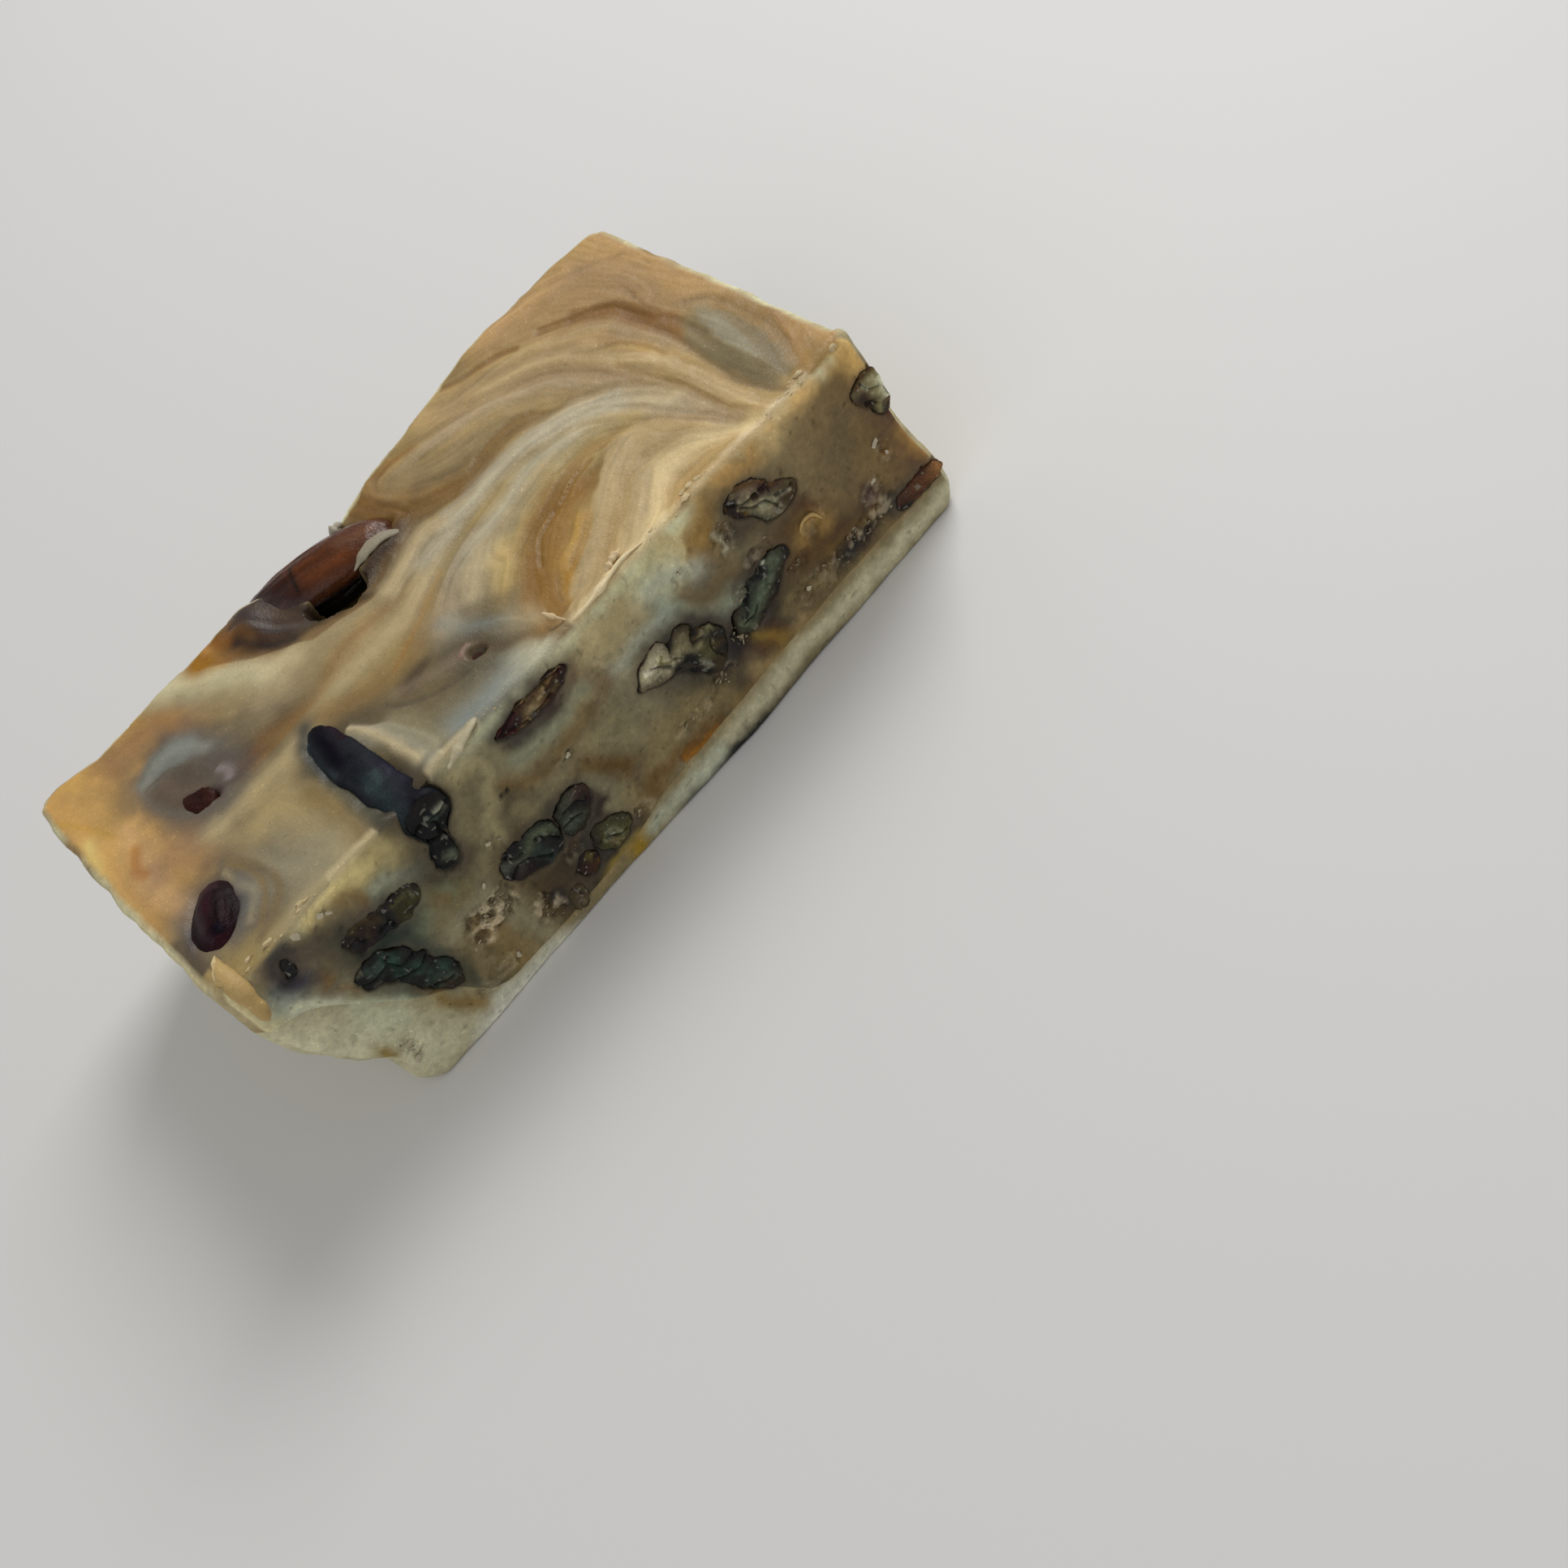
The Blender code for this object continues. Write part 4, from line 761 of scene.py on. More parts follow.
# Strokes of each section. The short pale strokes that rise 0.12 mm, mostly at the ends of the lists,
# are painted highlights and glints; the near-black strokes, most of which sink, mark holes and gaps,
# partly dark skin and partly painted shade.
NUT_STROKES = {
    "oval": (
     ("6b5a39", 0.9, 0.8, (-11.1, 25.3, -9.1, 28.2, -7.2, 28.3, -5.3, 28.7), 0.15),
     ("73674b", 0.6, 0.8, (-8.8, 27.9, -7.8, 28.2, -7.1, 27), 0.1),
     ("786849", 0.35, 1, (-8, 29.6, -5.1, 29.5, -5.5, 28.6), -0.05),
     ("624d2f", 0.3, 1, (-5.2, 28.7, -2.5, 29.5, -2.1, 29.1), 0.15),
     ("3b2916", 0.3, 1, (-5.1, 29.4, -4.7, 28.5, -2.9, 28.6), -0.15),
     ("581616", 1.4, 1, (-12.4, 30.3, -11.8, 28.6, -13, 27.6, -11.9, 26.2), -0.2),
     ("221616", 1.3, 1, (-13.6, 30.6, -13.3, 28.5, -10, 28.3), -0.2),
     ("7f6542", 0.25, 1, (-9.7, 29.4, -6.7, 30.3)),
     ("60522b", 0.6, 0.35, (-10.3, 26.5, -8.8, 25, -6.1, 27.2, -3.2, 27.7), -0.1),
     ("ac976c", 0.35, 1, (-9.1, 27.2, -8.7, 27.4), 0.12)),
    "upper": (
     ("362d18", 0.6, 1, (-42.9, 22.8, -39.7, 25.9, -36.8, 22.9)),
     ("2d2a16", 0.9, 1, (-34.8, 20.7, -35.5, 22.5, -31.2, 22.1), 0.25),
     ("393621", 0.6, 1, (-35.2, 23.9, -35.2, 23.8, -32.6, 23.6), 0.1),
     ("171616", 1, 1, (-41.2, 23.5, -41.6, 23.8, -41.3, 24.8), -0.3),
     ("161616", 1.2, 1, (-38, 21.4, -36.7, 23.1), -0.3),
     ("272518", 0.2, 1, (-39.5, 24.9, -34, 25, -33.6, 24, -32.5, 25, -32.1, 20.4), -0.1),
     ("2a2116", 0.7, 0.7, (-40.2, 22.7, -38.6, 24.8, -37.6, 23.7), 0.1),
     ("919179", 0.7, 0.15, (-33.2, 23.3, -32.6, 23), 0.12)),
    "spot": (
     ("161616", 1.6, 1, (-48.2, 27.8, -48.1, 30.2), -0.2),),
    "near": (
     ("2a352d", 0.8, 1, (-43.3, 20.8, -42, 18.8, -41.7, 20.4), 0.2),
     ("2a4337", 1, 1, (-39.8, 16.5, -40.5, 19.1, -37, 12), 0.1),
     ("22332b", 0.5, 1, (-40.8, 16.4, -40.9, 16.3, -38.1, 13.1), 0.15),
     ("2e3a32", 0.6, 1, (-38.3, 12.1, -37, 10, -37.1, 9.3), 0.1),
     ("161616", 0.7, 1, (-43.2, 16.7, -43.8, 17.1, -42, 17, -40.2, 20), -0.25),
     ("161616", 2, 1, (-39, 17, -36, 16, -36, 16, -38, 13), -0.15),
     ("2b3a30", 0.7, 0.6, (-40.2, 11.1, -38.3, 13, -39.3, 9.5), -0.1),
     ("543f23", 1.7, 0.15, (-37.9, 6.8, -36.1, 7.9, -37.8, 9.8)),
     ("424238", 0.45, 0.6, (-44, 17.7, -42.7, 17.5), 0.12),
     ("a9a88b", 0.7, 0.15, (-44.3, 21.1, -43.3, 20.7), 0.12),
     ("7ea791", 0.3, 0.15, (-41.5, 18.9, -40.4, 18.6), 0.12)),
    "cluster": (
     ("3f4037", 1.1, 0.8, (-23.9, 11.5, -21.2, 13.6, -23.6, 15.3), 0.15),
     ("3b4131", 1, 1, (-20, 14.4, -18.1, 15.3, -15.8, 13.7), 0.2),
     ("242c28", 0.9, 1, (-19.9, 13.7, -18.6, 10.7, -19.1, 14), 0.1),
     ("161616", 0.7, 1, (-21.2, 13.5, -20.6, 12, -19.2, 10.5), -0.25),
     ("1f1716", 1.2, 1, (-23.4, 12.8, -22, 11.9, -21.2, 11.9)),
     ("767b6a", 0.7, 0.3, (-17.6, 14, -17, 14.1), 0.12)),
    "purple": (
     ("2d3329", 1.8, 1, (-13.4, 16.3, -12.7, 15.4, -11.5, 15.8), 0.2),
     ("161616", 0.8, 1, (-11.6, 14, -10.6, 12.5, -9.9, 12.6), -0.1),
     ("5e1616", 2.1, 0.15, (-11, 15, -9, 16, -9, 13)),
     ("3c4137", 1.4, 1, (-14.1, 12.5, -14, 12, -13.3, 12.1), 0.1),
     ("161616", 0.5, 1, (-13.2, 13.5, -12, 13.4, -10.8, 12.4), -0.25),
     ("646659", 0.6, 0.15, (-12.8, 14.7, -11.5, 15.1), 0.12)),
    "rough": (
     ("535a51", 0.4, 1, (-12.1, 7, -10.6, 6.4, -10.2, 4.5), 0.1),
     ("5b572f", 3, 0.45, (-11, 6, -11, 5, -9, 5), 0.1),
     ("554d35", 0.3, 1, (-11.5, 3.8, -11.8, 5.3, -10.1, 3.6), -0.1),
     ("727055", 0.35, 1, (-12.7, 6.4, -12.1, 5.9), 0.12),
     ("aeae9e", 0.4, 0.3, (-11.8, 5.6, -11, 6.2), 0.12)),
    "chunk": (
     ("595122", 0.7, 0.4, (-15.8, 6.9, -15, 5.8), 0.1),
     ("5e4516", 0.9, 0.4, (-17.2, 3.6, -15.2, 3.3, -14.2, 5.2), -0.1)),
    "low": (
     ("231616", 0.3, 1, (-19.2, 2.8, -19.9, 6), 0.1),
     ("504838", 0.45, 0.7, (-21.6, 3.4, -20.2, 2.4, -19.5, 2.4), -0.1)),
    "middle": (
     ("908a70", 1.9, 1, (5.1, 18.6, 7, 19.3, 8.2, 17.3), 0.2),
     ("a2977f", 0.45, 0.2, (4.1, 20.1, 7.1, 21.4, 8.7, 20.3), 0.15),
     ("464332", 0.4, 0.6, (4, 18.1, 6.6, 15, 8.6, 16.7), 0.05),
     ("5f5740", 1.2, 1, (11.3, 18.5, 9.6, 18.4, 11.5, 17.4), 0.2),
     ("756f53", 0.6, 0.8, (9.7, 15, 10.3, 17.8, 11.8, 15.5, 14.5, 16.8), 0.1),
     ("666245", 0.45, 1, (14, 14, 15.1, 17.3, 15.2, 15.2), 0.2),
     ("1f1916", 0.8, 1, (11.5, 21, 9.7, 19, 9.3, 18.9), -0.35),
     ("161616", 0.7, 1, (13.7, 18.9, 13.1, 17.4, 13, 17.7), -0.35),
     ("585334", 0.4, 1, (8.2, 19.1, 7.4, 18.3, 8.7, 17.1), -0.15),
     ("161916", 1.7, 1, (9.1, 15.1, 10.5, 14.5, 9.2, 13.7), -0.3),
     ("161616", 1.3, 1, (10.4, 15, 9.8, 13.9, 11.8, 11.5), -0.25),
     ("5b5a4c", 0.6, 1, (11.3, 13.9, 12.4, 12.2, 12.7, 12.1), 0.15),
     ("403e26", 0.8, 1, (14.2, 15.3, 12.9, 14.2, 14.7, 12), -0.05),
     ("161616", 1.2, 0.9, (14.6, 15.6, 18.9, 12.2, 14.3, 12.6)),
     ("aba189", 0.6, 0.4, (9.3, 16.7, 9.9, 16.7), 0.12),
     ("161616", 0.5, 1, (11.4, 13.9, 10.3, 13.1), 0.12),
     ("aea592", 0.6, 0.15, (8.3, 19.6, 9.1, 20.5), 0.12),
     ("aeab97", 0.5, 0.7, (4.7, 19, 6.9, 18.6), 0.12)),
    "slim": (
     ("434c3b", 1.4, 1, (19.8, 12.7, 22.5, 13.5, 26, 15.9), 0.1),
     ("41483a", 1.2, 0.8, (25.8, 17.6, 27.4, 15.9), 0.2),
     ("1c2620", 1.2, 0.8, (21.9, 15.6, 20.9, 14.5, 21.5, 14.7), -0.35),
     ("2c3029", 1, 0.9, (22.3, 15.3, 23.5, 16.3, 24.7, 16.1), 0.2),
     ("161616", 0.8, 1, (23, 16.8, 24.7, 15.4, 25.5, 16.7), -0.3),
     ("161616", 0.5, 1, (25.8, 13.6, 25.7, 10.1, 21.6, 11.4), -0.1),
     ("161616", 0.6, 1, (28.7, 16.4, 30.9, 14.1, 28, 15)),
     ("161616", 0.45, 1, (19, 13.6, 19.7, 13.1, 22, 15.4), 0.1),
     ("abac94", 0.6, 1, (24.4, 19, 25.8, 16.9), 0.12),
     ("979f7f", 0.7, 0.15, (18.6, 12.6, 19.5, 13.1), 0.12),
     ("978c77", 0.6, 0.2, (19.5, 10.8, 20.4, 11), 0.12),
     ("909583", 0.5, 0.15, (24.9, 13.9, 26, 14.7), 0.12)),
    "far": (
     ("656150", 0.3, 1, (27.8, 26.6, 27.6, 24.6, 31.5, 27.8), 0.1),
     ("595342", 1.1, 1, (28.6, 26.4, 30, 26.5), 0.15),
     ("651616", 2.4, 0.2, (30, 26, 34, 24), 0.05),
     ("98916f", 1.6, 0.45, (28.7, 24.6, 31.5, 20.9, 31.8, 22.1), 0.15),
     ("443b27", 1.3, 1, (34.5, 21.4, 34.5, 22.9, 31.3, 20.9), 0.1),
     ("261716", 0.7, 1, (29.1, 24.9, 32, 24.4, 31.4, 24), -0.35),
     ("433316", 0.5, 1, (25.6, 27.3, 26.2, 24.8, 25.2, 25.7, 28.2, 23.5), -0.25),
     ("1d1616", 0.8, 1, (25.9, 26.3, 27, 23.7)),
     ("574d37", 0.6, 0.8, (27.6, 27.6, 27.2, 26.8), -0.1),
     ("48351e", 0.45, 1, (27.6, 28, 29.5, 27.1, 32.8, 24.9, 32.2, 23.8), -0.1),
     ("a7ab90", 0.6, 0.35, (29.5, 23.6, 31.3, 22.4, 31.5, 22.4), -0.15),
     ("352716", 1.5, 1, (33.5, 21.1, 34.6, 20.7)),
     ("aaa389", 0.3, 0.5, (33.1, 22.1, 31.8, 22.6, 34.4, 21.5), 0.15),
     ("656255", 0.7, 1, (30.9, 20.6, 31.5, 20.9), 0.12),
     ("8b7d5d", 0.35, 1, (28.9, 25.1, 30.6, 25.2), 0.12),
     ("292116", 0.3, 0.9, (30.6, 25.5, 29.9, 24.2), 0.12),
     ("948666", 0.25, 0.4, (26.7, 25.2, 28.2, 25.4), 0.12)),
    "corner": (
     ("857f5d", 2.3, 1, (50, 25, 51, 25, 52, 22), 0.1),
     ("aeae94", 0.9, 1, (52.3, 23.5, 52.5, 21.2, 52.4, 19.8), 0.2),
     ("aeae93", 0.25, 1, (49.7, 24, 50.4, 22.7), 0.2),
     ("271d16", 1.3, 1, (49.2, 22.2, 49.2, 21, 49.8, 20.7), -0.35),
     ("7d764f", 0.6, 0.45, (50, 18.9, 50.9, 20.5), 0.1),
     ("402e17", 1, 1, (49, 26, 48.9, 24.3, 49.3, 24.9, 52.4, 24.8), -0.1)),
    "strip": (
     ("161616", 1.2, 1, (45.3, 6, 47.1, 5)),
     ("161616", 0.7, 1, (48.9, 6.4, 49.8, 5.8, 51.2, 5.2), 0.1),
     ("704218", 1.8, 0.3, (49.5, 5.9, 53, 5.6), 0.1),
     ("7a5834", 1.9, 0.8, (53.8, 6.3, 54.4, 5.1), 0.1),
     ("7f4e30", 0.15, 1, (45.2, 7.4, 49.2, 7.5, 52.9, 7.1, 53.1, 6.9), -0.15),
     ("352016", 0.35, 1, (45.3, 6.2, 47.6, 5.8, 51.4, 4.4), -0.1)),
    "long_end": (
     ("1a1617", 1.3, 0.9, (-25.4, 31, -24, 30.9, -22.9, 30.1), 0.1),
     ("3c3f34", 0.7, 0.8, (-27.7, 23.2, -25.9, 21.9, -26.9, 21.4), 0.2),
     ("737465", 0.7, 0.9, (-24.6, 28.5, -22.7, 28.5), 0.12),
     ("36403b", 0.7, 0.8, (-25.6, 28.5, -24.3, 27.8), 0.12),
     ("6c7761", 0.8, 0.15, (-26.7, 22, -25.8, 23), 0.12)),
}


def ragged(loop, seed):
    """A loop pushed about by up to 0.3 mm of fine grain, because nuts break unevenly."""
    solid = as_points(loop[:, 0], loop[:, 1], seed)
    return loop + 0.3 * np.stack([rough(solid, 1.1, 43, 2), rough(solid, 1.1, 44, 2)], axis=-1)


LOOPS = {"pecan_front_" + name: ragged(smooth_path(pairs(row), 160, closed=True), 1.0)
         for name, (hollow, lump, row) in SECTIONS.items()}
FLESH_OF = {"pecan_front_" + name: (in_shade(hollow), in_shade(lump))
            for name, (hollow, lump, row) in SECTIONS.items()}
print("cut pecans on the front:", len(LOOPS))

# %% [markdown]
# Turning grids into pieces
#
# Every new piece is a grid of points joined into faces. A closed skin has rings round a
# path and one point at each end; a block has six sided lattices that share their edges.
# The volume's sign tells whether faces look outwards, and they are turned if they don't.

# %% Mesh helpers


def skin(rings, first, last):
    """Closed skin: quads between neighbouring rings, which close round, and a fan of
    triangles to the first and the last point. rings has the shape (rows, around, 3)."""
    rows, around = rings.shape[:2]
    points = np.vstack([rings.reshape(-1, 3), [first], [last]])
    here = np.arange(rows * around).reshape(rows, around)
    right = np.roll(here, -1, axis=1)
    quads = np.stack([here[:-1], right[:-1], right[1:], here[1:]], axis=-1).reshape(-1, 4)
    start = [(right[0, k], here[0, k], rows * around) for k in range(around)]
    end = [(here[-1, k], right[-1, k], rows * around + 1) for k in range(around)]
    return points, quads.tolist() + start + end


def signed_volume(points, faces):
    """Sum of the pyramids from the origin to each triangle of each face's fan."""
    fans = [(face[0], face[k], face[k + 1]) for face in faces for k in range(1, len(face) - 1)]
    a, b, c = (points[np.array(fans)[:, k]] for k in range(3))
    return float(np.sum(np.cross(a, b) * c)) / 6.0


def make_piece(name, points, faces, finish, nodes=(), tint=None, polish=None,
               sharp=50.0, crumbly=None):
    """Millimetre points and faces to a shaded object that rides with the slice."""
    if signed_volume(points, faces) < 0.0:
        faces = [tuple(face)[::-1] for face in faces]
    mesh = bpy.data.meshes.new(name)
    mesh.from_pydata((points * MM).tolist(), [], faces)
    mesh.shade_smooth()
    mesh.set_sharp_from_angle(angle=math.radians(sharp))
    if tint is not None:
        colour = mesh.color_attributes.new("tint", "FLOAT_COLOR", "POINT")
        rows = np.concatenate([tint, np.ones((len(tint), 1))], axis=1)
        colour.data.foreach_set("color", rows.ravel())
    for key, values in (("polish", polish), ("crumbly", crumbly)):
        if values is not None:
            layer = mesh.attributes.new(key, "FLOAT", "POINT")
            layer.data.foreach_set("value", np.asarray(values, float))
    mesh.materials.append(finish)
    piece = bpy.data.objects.new(name, mesh)
    bpy.context.collection.objects.link(piece)
    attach(piece, "root")
    if nodes:
        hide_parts(*nodes)
    return piece


print("mesh helpers ready")

# %% [markdown]
# Finishes
#
# Fudge is sugar crystals in butter: matt and grainy where cut, a little waxy on top, and
# light goes a short way in. Pecan skin is darker, smoother and oiled by the fudge. Each
# piece carries its own colours in an attribute called tint, its gloss in polish, and how
# crumbly it is in crumbly; the finish adds the fine grain, painted glints of sugar
# crystals, and painted light and shade that follow the bumps of crumbled grains.

# %% Node finishes


def food_finish(name, mottle, crystals, depth, scatter, shine, specks):
    """Tint times fine mottling, dark specks and painted glints of sugar crystals; where
    crumbly, the tint follows the crumb bumps, paler where they stand up, a painted light;
    roughness from polish; and bumps of two sizes, with a third where crumbly."""
    finish = bpy.data.materials.new(name)
    finish.use_nodes = True
    nodes = finish.node_tree.nodes
    link = finish.node_tree.links.new
    body = nodes["Principled BSDF"]
    place = nodes.new("ShaderNodeTexCoord").outputs["Object"]

    def noise(size, detail, seed):
        """Noise texture whose blobs are about size millimetres wide."""
        texture = nodes.new("ShaderNodeTexNoise")
        shift = nodes.new("ShaderNodeMapping")
        shift.inputs["Location"].default_value = (seed, 0.37 * seed, 0.61 * seed)
        link(place, shift.inputs["Vector"])
        link(shift.outputs["Vector"], texture.inputs["Vector"])
        texture.inputs["Scale"].default_value = 1.0 / (size * MM)
        texture.inputs["Detail"].default_value = detail
        return texture.outputs["Fac"]

    def spread(value, low, high, start, end):
        """Map Range from low..high to start..end."""
        ranged = nodes.new("ShaderNodeMapRange")
        link(value, ranged.inputs["Value"])
        for key, number in zip(("From Min", "From Max", "To Min", "To Max"),
                               (low, high, start, end)):
            ranged.inputs[key].default_value = number
        return ranged.outputs["Result"]

    def arithmetic(kind, first, second):
        """Math node of two values, either of which may be a number."""
        sum_node = nodes.new("ShaderNodeMath")
        sum_node.operation = kind
        for socket, value in zip(sum_node.inputs, (first, second)):
            if isinstance(value, float):
                socket.default_value = value
            else:
                link(value, socket)
        return sum_node.outputs["Value"]

    tint = nodes.new("ShaderNodeAttribute")
    tint.attribute_name = "tint"
    polish = nodes.new("ShaderNodeAttribute")
    polish.attribute_name = "polish"
    wide = spread(noise(2.2, 3.0, 1.0), 0.3, 0.7, 1.0 - mottle, 1.0 + mottle)
    fine = spread(noise(0.35, 2.0, 2.0), 0.3, 0.7, 1.0 - mottle, 1.0 + mottle)
    dots = spread(noise(0.55, 1.0, 3.0), 0.68, 0.74, 1.0, specks)
    crumbly = nodes.new("ShaderNodeAttribute")
    crumbly.attribute_name = "crumbly"
    # On crumbly places one noise lifts the bump and lightens the tint: painted light on raised
    # grains, painted shade between them.
    loose = spread(noise(0.75, 4.0, 7.0), 0.32, 0.68, -0.42, 0.42)
    crumb_shading = arithmetic("ADD", arithmetic("MULTIPLY", loose, crumbly.outputs["Fac"]), 1.0)
    # Sparse pale specks: painted glints of sugar crystals.
    crystal_glints = spread(noise(0.5, 1.0, 8.0), 0.7, 0.75, 1.0, 1.3)
    strength = arithmetic("MULTIPLY", arithmetic("MULTIPLY", wide, fine), dots)
    strength = arithmetic("MULTIPLY", arithmetic("MULTIPLY", strength, crystal_glints), crumb_shading)
    scale = nodes.new("ShaderNodeVectorMath")
    scale.operation = "SCALE"
    link(tint.outputs["Color"], scale.inputs["Vector"])
    link(strength, scale.inputs["Scale"])
    link(scale.outputs["Vector"], body.inputs["Base Color"])

    grainy = spread(noise(0.6, 2.0, 4.0), 0.3, 0.7, -0.06, 0.06)
    link(arithmetic("ADD", polish.outputs["Fac"], grainy), body.inputs["Roughness"])
    body.inputs["Subsurface Weight"].default_value = scatter
    body.inputs["Subsurface Radius"].default_value = (1.0, 0.62, 0.35)
    body.inputs["Subsurface Scale"].default_value = 0.9 * MM
    body.inputs["IOR"].default_value = 1.45
    body.inputs["Specular IOR Level"].default_value = shine

    grains = noise(crystals, 2.0, 5.0)
    dimples = noise(3.5 * crystals, 3.0, 6.0)
    height = arithmetic("ADD", grains, arithmetic("MULTIPLY", dimples, 1.5))
    chunks = arithmetic("MULTIPLY", loose, crumbly.outputs["Fac"])
    height = arithmetic("ADD", height, arithmetic("MULTIPLY", chunks, 3.0))
    bump = nodes.new("ShaderNodeBump")
    bump.inputs["Strength"].default_value = 0.7
    bump.inputs["Distance"].default_value = depth * MM
    link(height, bump.inputs["Height"])
    link(bump.outputs["Normal"], body.inputs["Normal"])
    return finish


MARBLED = food_finish("marbled_fudge", 0.045, 0.22, 0.09, 0.12, 0.3, 0.86)
VANILLA = food_finish("vanilla_fudge", 0.05, 0.25, 0.10, 0.12, 0.25, 0.88)
PECAN_CUT = food_finish("pecan_cut", 0.14, 0.2, 0.10, 0.05, 0.15, 0.7)
PECAN_SKIN = food_finish("pecan_skin", 0.16, 0.3, 0.10, 0.02, 0.24, 0.8)
PECAN_DULL = food_finish("pecan_dull_skin", 0.2, 0.3, 0.10, 0.02, 0.07, 0.8)
print("finishes:", [m.name for m in (MARBLED, VANILLA, PECAN_CUT, PECAN_SKIN, PECAN_DULL)])

# %% [markdown]
# Pecans cut on the other faces
#
# The back and the ends are cut the same way, with their own pecans. Their outlines are
# lobed ovals: (L cos t, W sin t) times 1 + lobe cos(lobes t + turn), turned by the tilt.

# %% Outlines on the back and the ends
# The lump tones, lighter than the hollow tones, are partly the flesh's own colour and partly painted
# light on the lobes.
LOBED = {
    "pecan_back_near": ("back", "18201a", "4a4e3a", -37, 18, 7, 2.8, 28, 5,
                        0.15, 20),
    "pecan_back_low": ("back", "322618", "604c30", -21, 9.5, 5.2, 2.4, -12, 4,
                       0.12, 60),
    "pecan_back_middle": ("back", "443e2e", "8a8262", 6, 19, 6.2, 3, -30, 5,
                          0.15, 80),
    "pecan_back_slim": ("back", "202822", "4e5846", 22.5, 11.5, 5.8, 1.9, 14, 3,
                        0.12, 0),
    "pecan_back_far": ("back", "22181a", "543e34", 38.5, 21.5, 5.4, 2.9, 40, 4, 0.14,
                       30),
    "pecan_end_far": ("far", "2c2c1e", "68644a", 6, 15.5, 5.6, 2.6, 24, 4, 0.14,
                      10),
    "pecan_end_near": ("near", "2c2016", "5c462c", 9, 27.3, 3.8, 1.5, -6, 3, 0.10,
                       0),
}


def lobed_loop(along, height, half_long, half_wide, tilt, lobes, lobe, turn):
    """The lobed oval as 120 points (along, height)."""
    t = np.linspace(0.0, 2.0 * math.pi, 120, endpoint=False)
    swell = 1.0 + lobe * np.cos(lobes * t + math.radians(turn))
    long_part = half_long * np.cos(t) * swell
    wide_part = half_wide * np.sin(t) * swell
    angle = math.radians(tilt)
    return np.stack([along + long_part * math.cos(angle) - wide_part * math.sin(angle),
                     height + long_part * math.sin(angle) + wide_part * math.cos(angle)],
                    axis=-1)


FACE_OF = {name: "front" for name in LOOPS}
for name, (face, hollow, lump, *sizes) in LOBED.items():
    FACE_OF[name] = face
    FLESH_OF[name] = (in_shade(hollow), in_shade(lump))
    LOOPS[name] = lobed_loop(*sizes)


def on_face(face, along, height, inset):
    """A point of a cut face, inset millimetres behind it."""
    if face == "front":
        return as_points(along, front_y(along, height) + inset, height)
    if face == "back":
        return as_points(along, back_y(along, height) - inset, height)
    if face == "near":
        return as_points(near_x(along, height) + inset, along, height)
    return as_points(far_x(along, height) - inset, along, height)


print("cut pecans in all:", len(LOOPS))

# %% [markdown]
# The top, with everything that rises and dips
#
# The top sinks towards the far front. A burr stands along the front edge, where the
# knife dragged the caramel up, sunken pecans make low mounds, fudge has run over the
# shiny pecan's end, and beside that pecan is a deep hollow where one was pulled out.

# %% The top's height
MOUNDS = ((44.5, -13, 3.6, 11, 1, -6), (-40, 9.5, 6.5, 10, 0.7, 8),
          (-10.6, -13, 8, 5, 0.7, -28), (-20.2, 21.6, 4.6, 6.6, 1.9, -20),
          (-3, 12, 5, 2.2, 0.5, 0), (-53.6, -22, 2.2, 5, 0.6, -12))
HOLLOWS = (((-10.5, 12.4), (4.6, 3), -26, 5, 0.35),
           ((-26, -16.2), (3.3, 13.4), 2, 0.7, 0.6),
           ((-49.6, -14), (5.4, 3.5), 61, 0.8, 0.5),
           ((-40.5, 2.8), (2.1, 0.9), -42, 1.2, 0.9),
           ((-6.7, -16.3), (1.3, 0.8), -20, 0.9, 0.6),
           ((-0.4, 16.8), (0.6, 2.2), 12, 2, 0.6),
           ((-7.4, 18.6), (8.8, 4.9), -25, 1.6, 0.4))


def oval_reach(x, y, centre, half, turn=0.0):
    """1 on the rim of a turned oval, less inside it."""
    angle = math.radians(turn)
    away_x, away_y = x - centre[0], y - centre[1]
    u = (away_x * math.cos(angle) + away_y * math.sin(angle)) / half[0]
    v = (away_y * math.cos(angle) - away_x * math.sin(angle)) / half[1]
    return np.hypot(u, v)


def top_z(x, y):
    """Twisted plane, bell-shaped mounds, a burr along the front edge, hollows with steep
    sides, and slow waves."""
    z = plain_top(x, y)
    for centre_x, centre_y, half_x, half_y, height, turn in MOUNDS:
        reach = oval_reach(x, y, (centre_x, centre_y), (half_x, half_y), turn)
        z = z + height * np.exp(-2.0 * reach * reach)
    from_front = y - (FRONT_FOOT + FRONT_LEAN + 1.6)
    burr = 0.8 + 0.6 * rough(as_points(x, 0.0, 0.0), 6.0, 21)
    z = z + burr * np.exp(-(from_front / 1.5) ** 2)
    solid = as_points(x, y, 0.0)
    z = z + 0.25 * rough(solid, 9.0, 22) + 0.1 * rough(solid, 2.5, 23)
    uneven = 0.16 * grain(solid, 2.0, 24)
    for centre, half, turn, depth, soft in HOLLOWS:
        reach = oval_reach(x, y, centre, half, turn) + uneven
        z = z - depth * ease((1.0 + 0.4 * soft - reach) / soft)
    return z


print("hollow floor at", round(float(top_z(-10.6, 12.2)), 1), "mm")

# %% [markdown]
# One lattice for each fudge layer
#
# A layer is a block whose six sides are lattices of about 0.4 mm. Each lattice corner
# has three shares: u along, v across and w up. The block is bent to the walls by mixing
# opposite walls by those shares, and its hidden underside is one ruled strip.

# %% Block lattice and its bending


